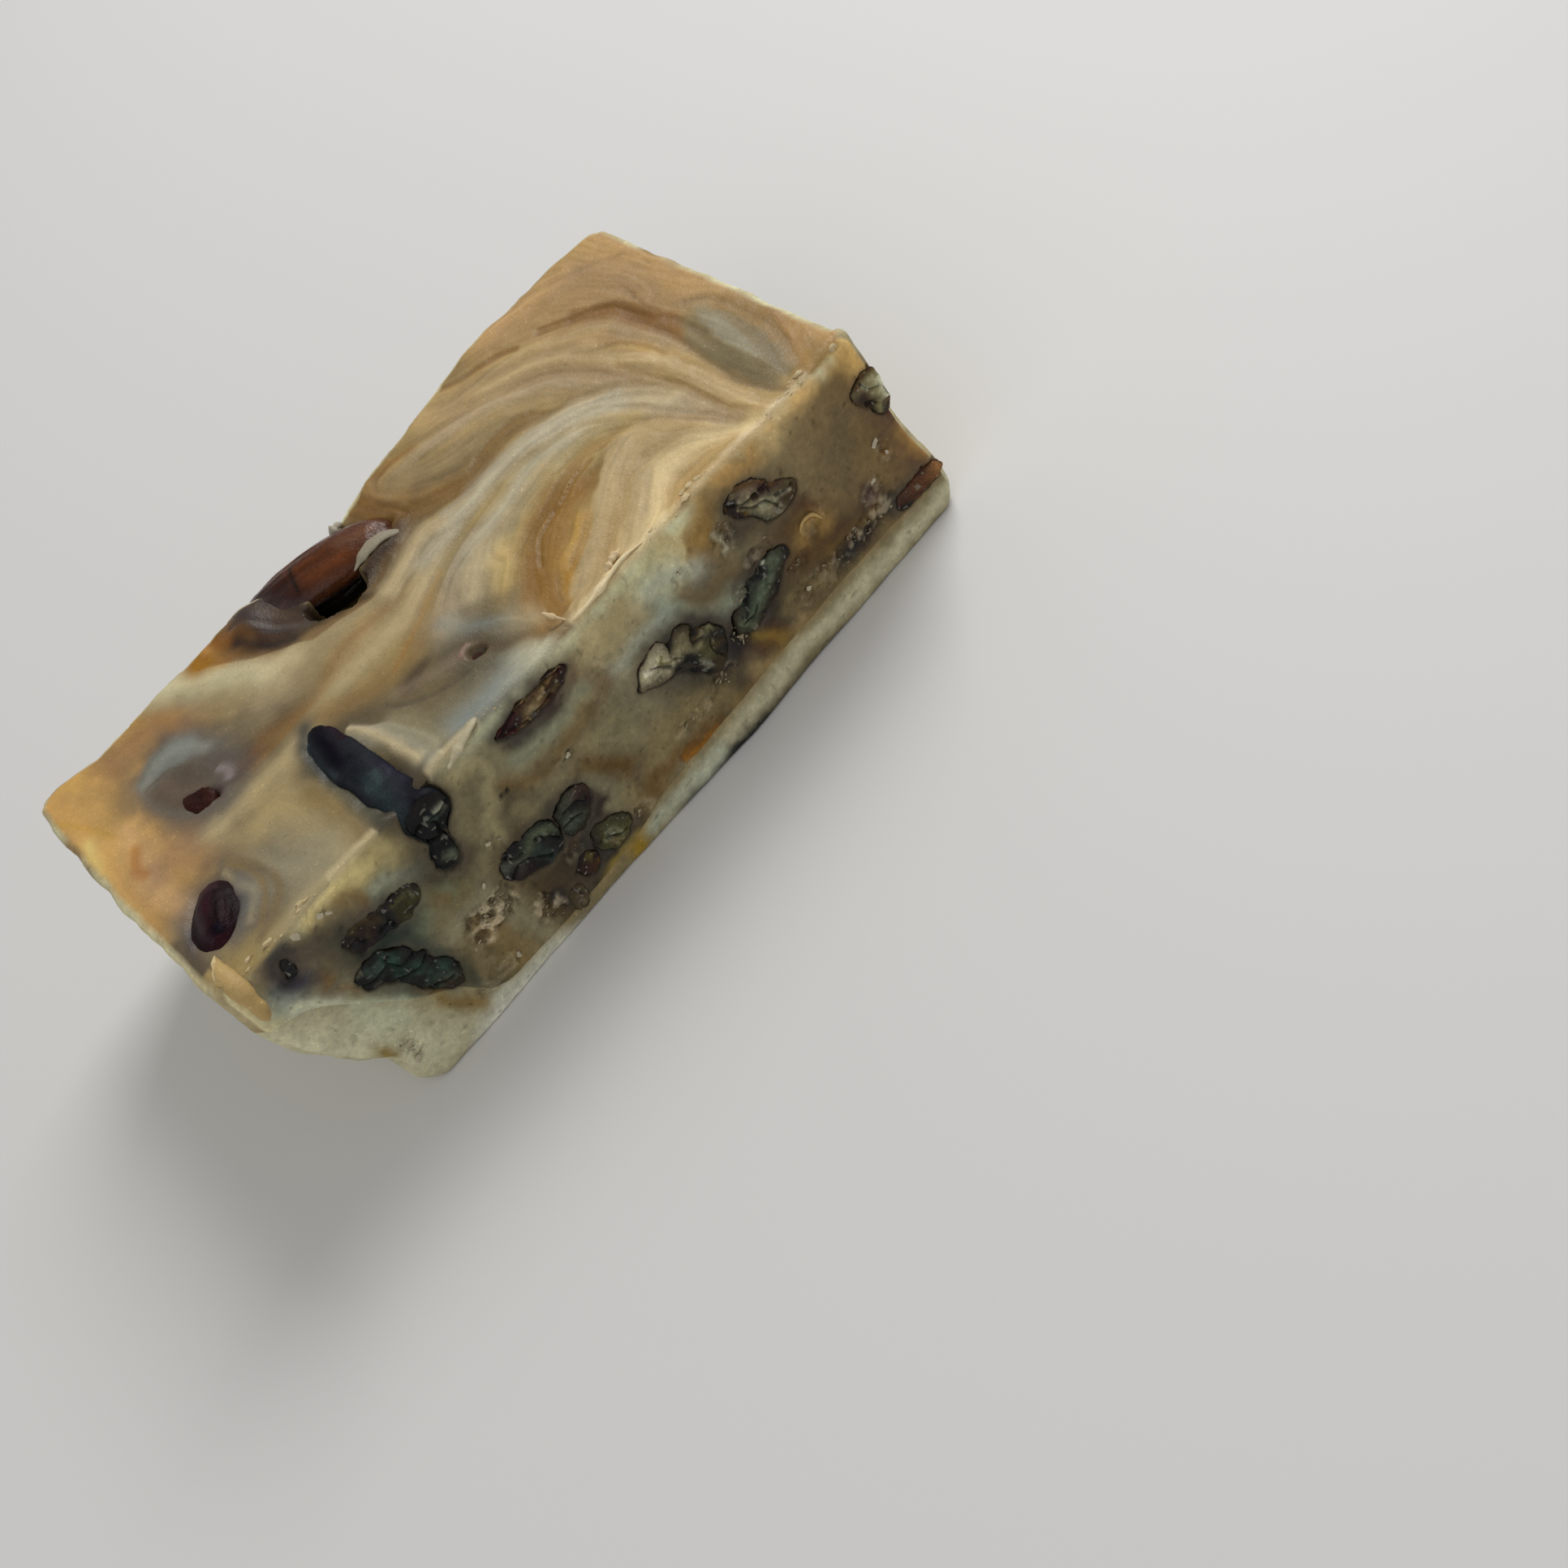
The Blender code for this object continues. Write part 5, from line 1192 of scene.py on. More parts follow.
def block(along, across, up, roof_shows):
    """Whole-number corners and outward faces of a block. A hidden floor or roof is ruled in
    long quads, and its two end strips take in every corner of the end walls."""
    i, j, k = np.arange(along + 1), np.arange(across + 1), np.arange(up + 1)

    def key(a, b, c):
        return (a * (across + 1) + b) * (up + 1) + c

    def sheet(first, second, make, flip):
        a, b = np.meshgrid(first[:-1], second[:-1], indexing="ij")
        corners = [make(a, b), make(a + 1, b), make(a + 1, b + 1), make(a, b + 1)]
        return np.stack(corners[::-1] if flip else corners, axis=-1).reshape(-1, 4)

    sheets = [sheet(i, k, lambda a, b: key(a, 0, b), False),
              sheet(i, k, lambda a, b: key(a, across, b), True),
              sheet(j, k, lambda a, b: key(0, a, b), True),
              sheet(j, k, lambda a, b: key(along, a, b), False)]
    if roof_shows:
        sheets.append(sheet(i, j, lambda a, b: key(a, b, up), False))
    strips = []
    for level, turn in ((0, 1),) if roof_shows else ((0, 1), (up, -1)):
        here = i[1:-2]
        ruled = np.stack([key(here, 0, level), key(here, across, level),
                          key(here + 1, across, level), key(here + 1, 0, level)], axis=-1)
        sheets.append(ruled[:, ::turn])
        strips.append([*key(0, j, level), key(1, across, level), key(1, 0, level)][::turn])
        strips.append([*key(along, j[::-1], level), key(along - 1, 0, level),
                       key(along - 1, across, level)][::turn])
    used, faces = np.unique(np.vstack(sheets), return_inverse=True)
    faces = faces.reshape(-1, 4).tolist()
    faces += [np.searchsorted(used, strip).tolist() for strip in strips]
    corners = np.stack([used // ((across + 1) * (up + 1)),
                        used // (up + 1) % (across + 1), used % (up + 1)], axis=-1)
    return corners, faces


def bend_block(corners, counts, floor_z, roof_z, top_radius):
    """Mix opposite walls by the shares u and v at each height; corners draw in a little."""
    u, v, w = (corners[:, n] / counts[n] for n in range(3))
    x = ROUGH_NEAR + ROUGH_LENGTH * u
    y = -BACK_FACE + 2.0 * BACK_FACE * v
    for repeat in range(2):
        low, high = floor_z(x, y), roof_z(x, y)
        z = low + (high - low) * w
        draw = round_inset(high - z, top_radius)
        front = front_y(x, z) + 0.5 * draw
        back = back_y(x, z) - draw
        pull = 0.6 * round_inset(np.minimum(u, 1.0 - u) * ROUGH_LENGTH, 1.2)
        new_y = front + pull + (back - front - 2.0 * pull) * v
        near, far = near_x(y, z) + draw, far_x(y, z) - draw
        pull = 0.6 * round_inset(np.minimum(v, 1.0 - v) * 2.0 * BACK_FACE, 1.2)
        x = near + pull + (far - near - 2.0 * pull) * u
        y = new_y
    return np.stack([x, y, z], axis=-1)


# %% [markdown]
# Crumbled places
#
# Where the knife met a crumbly spot the face broke away in grains. Each is a soft oval
# on the front face with its own strength: (centre, half sizes, strength).

# %% Crumbled ovals and the look of a cut face
CRUMBLES = (((-28.5, 11.5), (4.2, 2.8), 1.0), ((-23.4, 5.6), (2.2, 3), 0.8),
            ((-46.4, 7), (1.4, 2), 0.5), ((-33, 4.6), (4.4, 1.2), 0.5),
            ((-22, 19.5), (1.4, 1.6), 0.3), ((-9, 19.4), (2.4, 0.8), 0.3),
            ((-16.4, 8.8), (1.8, 1.2), 0.5), ((-6.4, 5), (2, 1.4), 0.5),
            ((23.4, 24), (1.8, 2.4), 0.6), ((18.4, 11.8), (1.8, 2.2), 0.7),
            ((21, 16.2), (1.3, 1), 0.6), ((25, 18.6), (1.6, 1), 0.6),
            ((28, 18.8), (0.8, 0.8), 0.5), ((40, 8.2), (5.4, 1.7), 0.75),
            ((47.8, 14.8), (1.2, 2), 0.5), ((43.4, 11.4), (2.4, 1.8), 0.5),
            ((31, 8.8), (4, 1.2), 0.6), ((34.4, 15.4), (2.6, 1.8), 0.4),
            ((29.6, 12.6), (2, 1), 0.6), ((7, 8.4), (5, 0.9), 0.5),
            ((2, 24.4), (2, 1.6), 0.3), ((16, 24.6), (1.6, 1.4), 0.3),
            ((33, 7), (8, 1.2), 0.4), ((13, 9.4), (2.4, 1.4), 0.6))
FRONT_TONES = ((-56, "aba17b"), (-50, "75694d"), (-42, "23241b"),
               (-36, "16261f"), (-30, "665635"), (-22, "3c311d"),
               (-14, "161616"), (-6, "231616"), (3, "645d46"), (10, "161616"),
               (17, "1f1616"), (24, "161616"), (36, "6a5c3f"), (46, "5e4d2e"),
               (54, "301616"))

UNDER_FILM = {"pecan_front_upper": 0.3, "pecan_front_spot": 0.12, "pecan_front_low": 0.15}


def nut_distance(places, face):
    """Signed distance to the nearest cut pecan of a face, negative inside it. A film of
    fudge over a pecan counts as distance."""
    best = np.full(len(places), 9.0)
    loops = [(loop, UNDER_FILM.get(name, 0.0)) for name, loop in LOOPS.items()
             if FACE_OF[name] == face]
    if face == "front":
        loops.append((smooth_path(pairs(LONG_END), 120, closed=True), 0.0))
    for loop, film in loops:
        low, high = loop.min(axis=0) - 3.0, loop.max(axis=0) + 3.0
        close = np.all((places > low) & (places < high), axis=1)
        if close.any():
            here = inside_distance(places[close], loop) + film
            best[close] = np.minimum(best[close], here)
    return best


def cut_face_look(places, face, colours):
    """Colours, inward depth and crumbliness of a cut face: pecans sit in small pits with
    a thin rim of painted shade; crumbled ovals break up, their sunken grains painted darker
    as painted shade and their raised grains paler, partly white sugar and partly painted
    light; and pores are the peaks of fine grain, sunk and painted darker as painted shade."""
    solid = as_points(places[:, 0], places[:, 1], 0.0)
    gap = nut_distance(places, face)
    crumbled = np.zeros(len(places))
    if face == "front":
        for centre, half, strength in CRUMBLES:
            reach = oval_reach(places[:, 0], places[:, 1], centre, half)
            reach = reach + 0.35 * rough(solid, 2.2, 37, 2)
            crumbled = np.maximum(crumbled, strength * ease((1.25 - reach) / 0.5))
    else:
        crumbled = 0.7 * ease((rough(solid, 9.0, 31) - 0.34) / 0.2)
        if face == "back":
            crumbled = crumbled * ease((places[:, 0] + 40.0) / 8.0)
    loose = rough(solid, 1.3, 32, 3)
    depth = 0.07 * rough(solid, 1.8, 33) + 0.18 * rough(solid, 5.0, 38, 2)
    depth = depth + 0.75 * crumbled * ease((loose + 0.1) / 0.35)
    # Pores sink, and at the end they are painted darker: painted shade in them.
    pores = ease((grain(solid, 0.8, 34) - 0.74) / 0.2)
    depth = depth + 0.2 * pores
    pit = gap + 0.2 * grain(solid, 0.9, 35)
    depth = depth + 0.55 * ease((0.1 - pit) / 0.3)
    tonal = 1.0 + 0.12 * rough(solid, 3.2, 36, 3) + 0.14 * rough(solid, 0.9, 39, 2)
    colours[:] *= tonal[:, None]
    # Raised grains of crumbled ovals painted paler: partly white sugar, partly painted light.
    light = (0.6 * crumbled ** 2 * ease((-loose - 0.02) / 0.3))[:, None]
    colours[:] = colours * (1.0 - light) + in_shade("a6987e") * light
    # Sunken grains of crumbled ovals painted darker: painted shade in the pits.
    crumb_shading = (0.45 * crumbled * ease((loose - 0.02) / 0.3))[:, None]
    colours[:] = colours * (1.0 - crumb_shading) + FACE_DARK * crumb_shading
    uneven = np.clip(0.6 + 0.9 * rough(solid, 3.0, 40, 2), 0.0, 1.0)
    blush = (0.55 * uneven * np.exp(-(np.maximum(gap, 0.0) / 1.0) ** 2))[:, None]
    colours[:] = colours * (1.0 - blush) + in_shade("4c4436") * blush
    # A thin near-black rim in the fudge round each pecan: painted shade in the gap.
    rim = 0.8 * np.clip(uneven, 0.1, 1.0) * np.exp(-(np.maximum(gap, 0.0) / 0.2) ** 2)
    colours[:] = colours * (1.0 - rim[:, None]) + NUT_RIM_SKIN_AND_SHADE * rim[:, None]
    # Pores painted darker: painted shade.
    colours[:] *= (1.0 - 0.22 * pores)[:, None]
    return depth, crumbled


def side_tones(places, face):
    """Colour of a cut face before its clouds: by length on the front, in slow clouds of
    grain elsewhere."""
    if face == "front":
        at = [x for x, tone in FRONT_TONES]
        rows = [in_shade(tone) for x, tone in FRONT_TONES]
        return np.stack([np.interp(places[:, 0], at, [row[n] for row in rows])
                         for n in range(3)], axis=-1)
    turned = 11.0 if face == "back" else 37.0
    slow = rough(as_points(places[:, 0] / 1.7, places[:, 1], turned), 8.0, 41, 2)
    share = ease(0.5 + 1.1 * slow)[:, None]
    tones = in_shade("6c5c40") * (1.0 - share) + in_shade("928a6a") * share
    veins = np.abs(rough(as_points(places[:, 0] / 2.2, places[:, 1], turned + 5), 7.0, 42, 2))
    vein = (0.24 * np.exp(-(veins / 0.11) ** 2))[:, None]
    return tones * (1.0 - vein) + FACE_AMBER * vein


print("crumbled ovals:", len(CRUMBLES))

# %% [markdown]
# The look of cut pecan flesh
#
# Cut flesh is flat and waxy, with folds where the skin runs in. Its colour goes from the
# hollow tone to the lump tone with the distance from the folds, and strokes add each
# section's own lobes, gaps and stains.

# %% Flesh of the cut pecans


def lobes(places, loop, creases):
    """The lobe value 1 - exp(-d), d being the distance to the nearest crease or to the
    rim, changed by grain. It only sets the share of the lump tone, partly painted light on
    the lobes; nothing swells. Gives that value, d, the wrinkles and the way to the rim."""
    solid = as_points(places[:, 0], places[:, 1], 5.0)
    to_rim = np.maximum(-inside_distance(places, loop), 0.0)
    nearest = np.full(len(places), 9.0)
    for path in creases:
        nearest = np.minimum(nearest, beside(places, smooth_path(pairs(path), 24))[0])
    nearest = np.maximum(nearest + 0.22 * grain(solid, 0.9, 72), 0.0)
    wrinkle = np.sqrt(np.abs(rough(solid, 1.6, 71, 3)) / 0.5)
    lobe = 1.0 - np.exp(-np.minimum(nearest, to_rim + 0.3) / 0.5)
    return lobe, nearest, wrinkle, to_rim


def flesh_share(places, lobe, wrinkle):
    """Share of the lump's tone: lobes times patches of grain times wrinkles. The lump and
    hollow tones are partly the flesh's own colours and partly painted light and shade.
    """
    patch = ease(0.55 + 1.6 * rough(as_points(places[:, 0], places[:, 1], 5.0), 2.4, 75, 2))
    return (ease(lobe * 1.25 - 0.2) * (0.3 + 0.7 * patch)
            * (0.6 + 0.4 * np.clip(wrinkle, 0.0, 1.0)))[:, None]


def flesh_marks(places, tint, lobe, nearest, wrinkle, to_rim):
    """Creases are painted near black, their dark skin and painted shade; raised wrinkles are
    painted lighter, a painted light; painted glints lighten it; and the rim is painted near
    black, the dark skin and painted shade of the gap.
    """
    solid = as_points(places[:, 0], places[:, 1], 5.0)
    # Raised wrinkles painted lighter, a painted light, with some grain.
    tint = tint * (0.84 + 0.22 * np.clip(wrinkle, 0.0, 1.2) + 0.1 * rough(solid, 0.7, 78, 2))[:, None]
    # Creases painted near black: their dark skin and painted shade.
    deep = (0.8 * np.exp(-(nearest / 0.16) ** 2))[:, None]
    tint = tint * (1.0 - deep) + BLACK * deep
    # Small pale specks: painted glints.
    painted_glint = ease((grain(solid, 0.5, 76) - 0.7) / 0.12)[:, None] * 0.22
    tint = tint * (1.0 - painted_glint) + in_shade("969688") * painted_glint
    # Near-black rim: the dark skin at the pecan's edge and painted shade of the gap.
    width = 0.04 + 0.22 * np.clip(0.3 + 1.8 * grain(solid, 1.5, 77), 0.0, 1.0)
    rim = (0.85 * np.exp(-(to_rim / width) ** 2))[:, None]
    return tint * (1.0 - rim) + NUT_RIM_SKIN_AND_SHADE * rim


def flesh(places, loop, tones, creases, strokes):
    """Tone and outward relief of cut flesh at 2-D places: lobes, strokes and marks."""
    lobe, nearest, wrinkle, to_rim = lobes(places, loop, creases)
    share = flesh_share(places, lobe, wrinkle)
    tint = tones[0] * (1.0 - share) + tones[1] * share
    solid = as_points(places[:, 0], places[:, 1], 5.0)
    relief = 0.14 * (wrinkle - 0.6) + 0.07 * rough(solid, 0.7, 73)
    relief = relief - 0.4 * np.exp(-(nearest / 0.22) ** 2)
    paint(tint, relief, places, strokes, 79, FACE_LIGHT)
    return flesh_marks(places, tint, lobe, nearest, wrinkle, to_rim), relief, to_rim


print("flesh strokes:", sum(len(strokes) for strokes in NUT_STROKES.values()))

# %% [markdown]
# Fudge blocks
#
# The marbled layer is made as a top slab and a body below it, and the vanilla base as a
# third block. All three share the same columns, so they meet without a gap. The slab is
# deep enough for the hollow beside the shiny pecan.

# %% Fudge blocks
ALONG, ACROSS = 356, 188
# Strength of the pale band under the top edge along x: the burr's cream and a painted highlight on
# the edge.
RIM_CREAM_AND_HIGHLIGHT = ((-57, 0.3), (-40, 0.4), (-35, 0.8), (-29, 0.7), (-27, 0.1), (-22, 0.2), (-19, 0.8),
             (-13, 0.6), (-4, 0.3), (2, 0.8), (20, 0.9), (24, 0.5), (33, 0.8), (49, 0.9),
             (53, 0.5))
SLAB = 6.0


def dressed_block(name, up, floor_z, roof_z, finish, nodes, side_look, top_look=None):
    """Bend a block, then colour and carve its four sides and, where it shows, its top."""
    counts = (ALONG, ACROSS, up)
    corners, faces = block(*counts, roof_shows=bool(top_look))
    points = bend_block(corners, counts, floor_z, roof_z, TOP_ROUND if top_look else 0.01)
    tint = np.tile(CARAMEL, (len(points), 1))
    polish = np.full(len(points), 0.62)
    crumbly = np.zeros(len(points))
    on_top = corners[:, 2] == up
    if top_look:
        tint[on_top], relief = top_look(points[on_top][:, :2])
        points[on_top, 2] += relief
        polish[on_top] = 0.42
    for face, chosen, axes, inward in (
            ("front", corners[:, 1] == 0, (0, 2), (0.0, 1.0)),
            ("back", corners[:, 1] == ACROSS, (0, 2), (0.0, -1.0)),
            ("near", corners[:, 0] == 0, (1, 2), (1.0, 0.0)),
            ("far", corners[:, 0] == ALONG, (1, 2), (-1.0, 0.0))):
        places = points[chosen][:, axes]
        colours, relief = side_look(points[chosen], places, face)
        depth, crumbled = cut_face_look(places, face, colours)
        depth = depth - relief
        keep = (on_top[chosen] & bool(top_look)).astype(float)
        points[chosen, 0] += inward[0] * depth * (1.0 - 0.8 * keep)
        points[chosen, 1] += inward[1] * depth * (1.0 - 0.8 * keep)
        keep = keep[:, None]
        tint[chosen] = tint[chosen] * keep + colours * (1.0 - keep)
        crumbly[chosen] = (0.22 + 0.78 * crumbled) * (1.0 - keep[:, 0])
    print(name, "points:", len(points), "size", np.ptp(points, axis=0).round(1))
    return make_piece(name, points, faces, finish, nodes, tint, polish,
                      crumbly=crumbly)


def marbled_side(points, places, face):
    """Clouds on the front, grain elsewhere, and a pale band under the top edge: the burr's
    cream with a painted highlight on the edge.
    """
    colours, relief = side_tones(places, face), np.zeros(len(places))
    if face == "front":
        paint(colours, relief, warped(places, 1.6, 3.4, 160), FRONT_CLOUDS, 64, FACE_LIGHT)
        paint(colours, relief, warped(places, 0.5, 0.9, 163), FRONT_BITS, 66, FACE_LIGHT)
    below = top_z(points[:, 0], points[:, 1]) - points[:, 2]
    uneven = np.clip(0.5 + 1.2 * rough(as_points(places[:, 0], 0.0, 0.0), 4.0, 66), 0.0, 1.0)
    share = curve_at(places[:, 0], RIM_CREAM_AND_HIGHLIGHT, 1.0) if face == "front" else 0.5
    reach = 0.5 + 0.9 * uneven
    # The pale band: the burr's cream and a painted highlight on the edge.
    edge = (share * uneven * np.exp(-(below / reach) ** 2))[:, None]
    return colours * (1.0 - edge) + in_shade("ccb88e") * edge, relief


def base_side(points, places, face):
    """Pale base with stains and paler patches and painted shade along the foot, a little
    browner where the marbled layer soaked in.
    """
    pale = BASE_FACE if face == "front" else in_shade("8e8a70")
    colours, relief = np.tile(pale, (len(places), 1)), np.zeros(len(places))
    if face == "front":
        paint(colours, relief, warped(places, 1.0, 2.6, 161), BASE_STAINS_AND_FOOT_SHADE, 65, FACE_LIGHT)
    below = seam_z(points[:, 0], points[:, 1]) - points[:, 2]
    soak = 0.3 * np.exp(-(below / 0.7) ** 2)
    if face == "front":
        soak = soak * ease((places[:, 0] + 38.0) / 8.0)
    soak = soak[:, None]
    return colours * (1.0 - soak) + FACE_TAN * soak, relief


def top_look(plan):
    """Strokes, blots and comb lines of the top, and their relief."""
    solid = as_points(plan[:, 0], plan[:, 1], 8.0)
    share = ease(0.5 + rough(solid, 14.0, 51, 2))[:, None]
    tint = TOP_CARAMEL * (1.0 - share) + TOP_TAN * share
    relief = np.zeros(len(plan))
    for strokes, seed in ((TOP_NEAR, 61), (TOP_FAN, 62), (TOP_FOLD, 63)):
        paint(tint, relief, plan, strokes, seed)
    for tone, centre, half, strength, turn, soft in TOP_BLOTS:
        blot(tint, plan, tone, centre, half, strength, turn, soft)
    paint(tint, relief, plan, TOP_DETAILS, 70)
    broad = comb_lines(plan, FIELD, FIELD_LOW, 1.1, 67)
    fine = comb_lines(plan, FIELD, FIELD_LOW, 0.45, 68, steps=10)
    combed = 0.3 + 0.7 * ease((plan[:, 0] + 12.0) / 16.0)
    tint *= (1.0 + combed * (0.055 * broad + 0.05 * fine))[:, None]
    relief += combed * (0.035 * broad + 0.02 * fine)
    return np.clip(tint, 0.0, 1.0), relief


dressed_block("marbled_top_slab", 20, lambda x, y: top_z(x, y) - SLAB, top_z, MARBLED,
              ("marbled_layer",), marbled_side, top_look)
dressed_block("marbled_body", 66, seam_z, lambda x, y: top_z(x, y) - SLAB, MARBLED,
              ("marbled_layer",), marbled_side)
dressed_block("vanilla_base_fudge", 60, lambda x, y: 0.0 * x, seam_z, VANILLA,
              ("vanilla_base",), base_side)

# %% [markdown]
# Cut pecans
#
# A cut pecan is a thick chip let into the face. Its outline is laid out as lines across
# its long axis, and each line is carried round as a ring: a flat front with a rounded
# rim and a belly behind. Lumps and valleys come from the square root of folded grain,
# and the main creases are strokes that sink and are painted dark, their dark skin with
# painted shade.


def across_lines(loop, rows):
    """Mid points, half widths and the cross axis of a loop, read along its long axis."""
    centre = loop.mean(axis=0)
    axes = np.linalg.svd(loop - centre, full_matrices=False)[2]
    s, t = ((loop - centre) @ axes.T).T
    first, last = int(np.argmin(s)), int(np.argmax(s))
    count = len(loop)
    rising = np.arange(first, first + (last - first) % count + 1) % count
    falling = np.arange(last, last + (first - last) % count + 1)[::-1] % count
    share = (1.0 - np.cos(np.linspace(0.0, math.pi, rows))) / 2.0
    at = s[first] + (s[last] - s[first]) * share
    one = np.interp(at, np.maximum.accumulate(s[rising]), t[rising])
    two = np.interp(at, np.maximum.accumulate(s[falling]), t[falling])
    middle = centre + at[:, None] * axes[0] + ((one + two) / 2.0)[:, None] * axes[1]
    return middle, (one - two) / 2.0, axes[1]


def cut_pecan(name, rows=110, around=80, belly=3.2):
    """Ring k of a row has q = cos(angle) across it; the front half lies on the face with
    a rounded rim, the back half sinks by belly times the sine."""
    face = FACE_OF[name]
    middle, half, sideways = across_lines(LOOPS[name], rows)
    angle = np.concatenate([np.linspace(0.0, math.pi, around - 16, endpoint=False),
                            np.linspace(math.pi, 2.0 * math.pi, 16, endpoint=False)])
    flat = middle[:, None, :] + (half[:, None] * np.cos(angle))[..., None] * sideways
    places = flat.reshape(-1, 2)
    front = np.tile(angle <= math.pi, rows)
    short = name.removeprefix("pecan_front_")
    tint, relief, to_rim = flesh(places, LOOPS[name], FLESH_OF[name], CREASES.get(short, ()),
                                 NUT_STROKES.get(short, ()))
    size = np.repeat(np.minimum(belly, 1.6 * np.maximum(half, 0.05)), around)
    deep = 0.5 + size * np.abs(np.sin(np.tile(angle, rows)))
    inset = np.where(front, round_inset(to_rim, 0.25) - 0.02 - relief, deep)
    points = on_face(face, places[:, 0], places[:, 1], inset).reshape(rows, around, 3)
    first, last = points[0].mean(axis=0), points[-1].mean(axis=0)
    skin_points, skin_faces = skin(points[1:-1], first, last)
    tint = tint.reshape(rows, around, 3)
    tints = np.vstack([tint[1:-1].reshape(-1, 3), [NUT_RIM_SKIN_AND_SHADE], [NUT_RIM_SKIN_AND_SHADE]])
    return make_piece(name + "_cut", skin_points, skin_faces, PECAN_CUT,
                      (name,), np.clip(tints, 0.0, 1.0), np.full(len(tints), 0.5),
                      sharp=60.0, crumbly=np.full(len(tints), 0.45))


cut_pecans = [cut_pecan(name) for name in LOOPS]
print("cut pecans made:", len(cut_pecans))

# %% [markdown]
# Whole pecan halves
#
# A pecan half is a long oval with lengthwise ridges, and its skin is wrinkled. The ones
# on top lie half sunk in the fudge. An oval turned about its long axis gives the form:
# the ridges are a cosine of the angle round it, stronger at the middle.

# %% Pecan halves on the top


def turned(body, centre, heading, pitch):
    """Pitch lifts the +X end, heading turns about Z, then the centre is added."""
    lift, turn = math.radians(pitch), math.radians(heading)
    x = body[..., 0] * math.cos(lift) - body[..., 2] * math.sin(lift)
    z = body[..., 0] * math.sin(lift) + body[..., 2] * math.cos(lift)
    return as_points(centre[0] + x * math.cos(turn) - body[..., 1] * math.sin(turn),
                     centre[1] + x * math.sin(turn) + body[..., 1] * math.cos(turn),
                     centre[2] + z)


def pecan_half(centre, half, heading, pitch, ridges, ridge, seed, rows=120, around=110):
    """Oval of revolution: a cos t along, sin t round, swollen by 1 + ridge cos(n angle)
    and by wrinkles that are long along the nut; then pitched, turned and moved."""
    t = np.linspace(0.0, math.pi, rows)[1:-1, None]
    angle = np.linspace(0.0, 2.0 * math.pi, around, endpoint=False)[None, :]
    sway = 0.5 * np.sin(2.0 * t)
    swell = 1.0 + ridge * np.cos(ridges * angle + sway) * np.sin(t) ** 0.7
    unit = as_points(0.22 * np.cos(t), np.sin(t) * np.cos(angle), np.sin(t) * np.sin(angle))
    swell = swell + 0.05 * rough(unit, 0.16, seed) + 0.04 * rough(unit, 0.5, seed + 5)
    body = as_points(half[0] * np.cos(t) * (1.0 + 0.3 * (swell - 1.0)),
                     half[1] * np.sin(t) ** 0.85 * np.cos(angle) * swell,
                     half[2] * np.sin(t) ** 0.85 * np.sin(angle) * swell)
    return turned(body, centre, heading, pitch), swell


def whole_pecan(name, form, tones, polish_value, finish, sunk=None):
    """Skin tones painted by place, with painted shade in the grooves; the ends close in one
    point. sunk gives a level and a line: below it and in front of it the skin is painted
    near black, a painted shadow of the hollow under the nut, with some oil stain."""
    rings, swell = form
    points, faces = skin(rings, rings[0].mean(axis=0), rings[-1].mean(axis=0))
    tint = np.tile(shade(tones[0], 1.3), (len(points), 1))
    paint(tint, np.zeros(len(points)), points[:, :2], tones[1], 89, 1.3)
    # Painted shade in the grooves, and at the two end points.
    groove_shade = np.append(np.clip((1.0 - swell.ravel()) * 7.0, 0.0, 0.6), [0.3, 0.3])[:, None]
    tint = tint * (1.0 - groove_shade) + BLACK * groove_shade
    # Painted shadow of the hollow under the nut, with some oil stain: below the level and in front of
    # the line the skin goes near black.
    if sunk:
        level, start, slope = sunk
        before = start + slope * points[:, 0] - points[:, 1]
        dark = (ease((level - points[:, 2]) / 0.7) * ease(before / 2.0))[:, None]
        tint = tint * (1.0 - dark) + 0.3 * BLACK * dark
    gloss = np.full(len(points), polish_value)
    return make_piece(name + "_half", points, faces, finish, (name,), tint, gloss,
                      sharp=80.0)


whole_pecan("pecan_top_shiny",
            pecan_half((-10.0, 20.0, 29.0), (12.6, 5.7, 3.6), -25.0, 4.0, 5, 0.045, 81),
            ("5c3014",
             (("2e1a1c", 3.4, 0.9, (-17, 24, -15, 16)),
              ("584642", 1.5, 0.8, (-18, 26, -17, 21, -15.4, 17)),
              ("3a1810", 1.6, 0.7, (-13.8, 22.6, -13.4, 18)),
              ("7a3e14", 2, 0.8, (-11, 19, -6, 16)),
              ("684232", 1.2, 0.8, (-13.6, 24.6, -9.5, 23.8, -5, 20.8, -1.6, 17.4)),
              ("301a1a", 0.8, 0.8, (-14, 26.4, -10, 25.6, -6.4, 23.6, -3, 20.6)),
              ("1c0c08", 0.4, 0.9, (-13.4, 17.2, -12.4, 20, -11.4, 21.8, -9, 22)),
              ("885c42", 1.6, 0.8, (-5, 17.6, -3.4, 16.2, -1, 15.2)),
              )), 0.26, PECAN_SKIN, (30.3, 15.3, -0.466))
whole_pecan("pecan_top_sunken",
            pecan_half((-40.2, 8.6, 27.5), (9.0, 4.6, 3.3), 80.0, -17.0, 6, 0.07, 82),
            ("3c1e18", ()), 0.45, PECAN_DULL)
whole_pecan("pecan_top_grey",
            pecan_half((-9.4, -12.8, 27.9), (7.2, 3.8, 3.1), -28.0, 0.0, 6, 0.08, 83),
            ("54382e", (("967e6c", 0.4, 0.9, (-7.4, -14.8, -6.6, -15.2)),)), 0.4,
            PECAN_DULL)
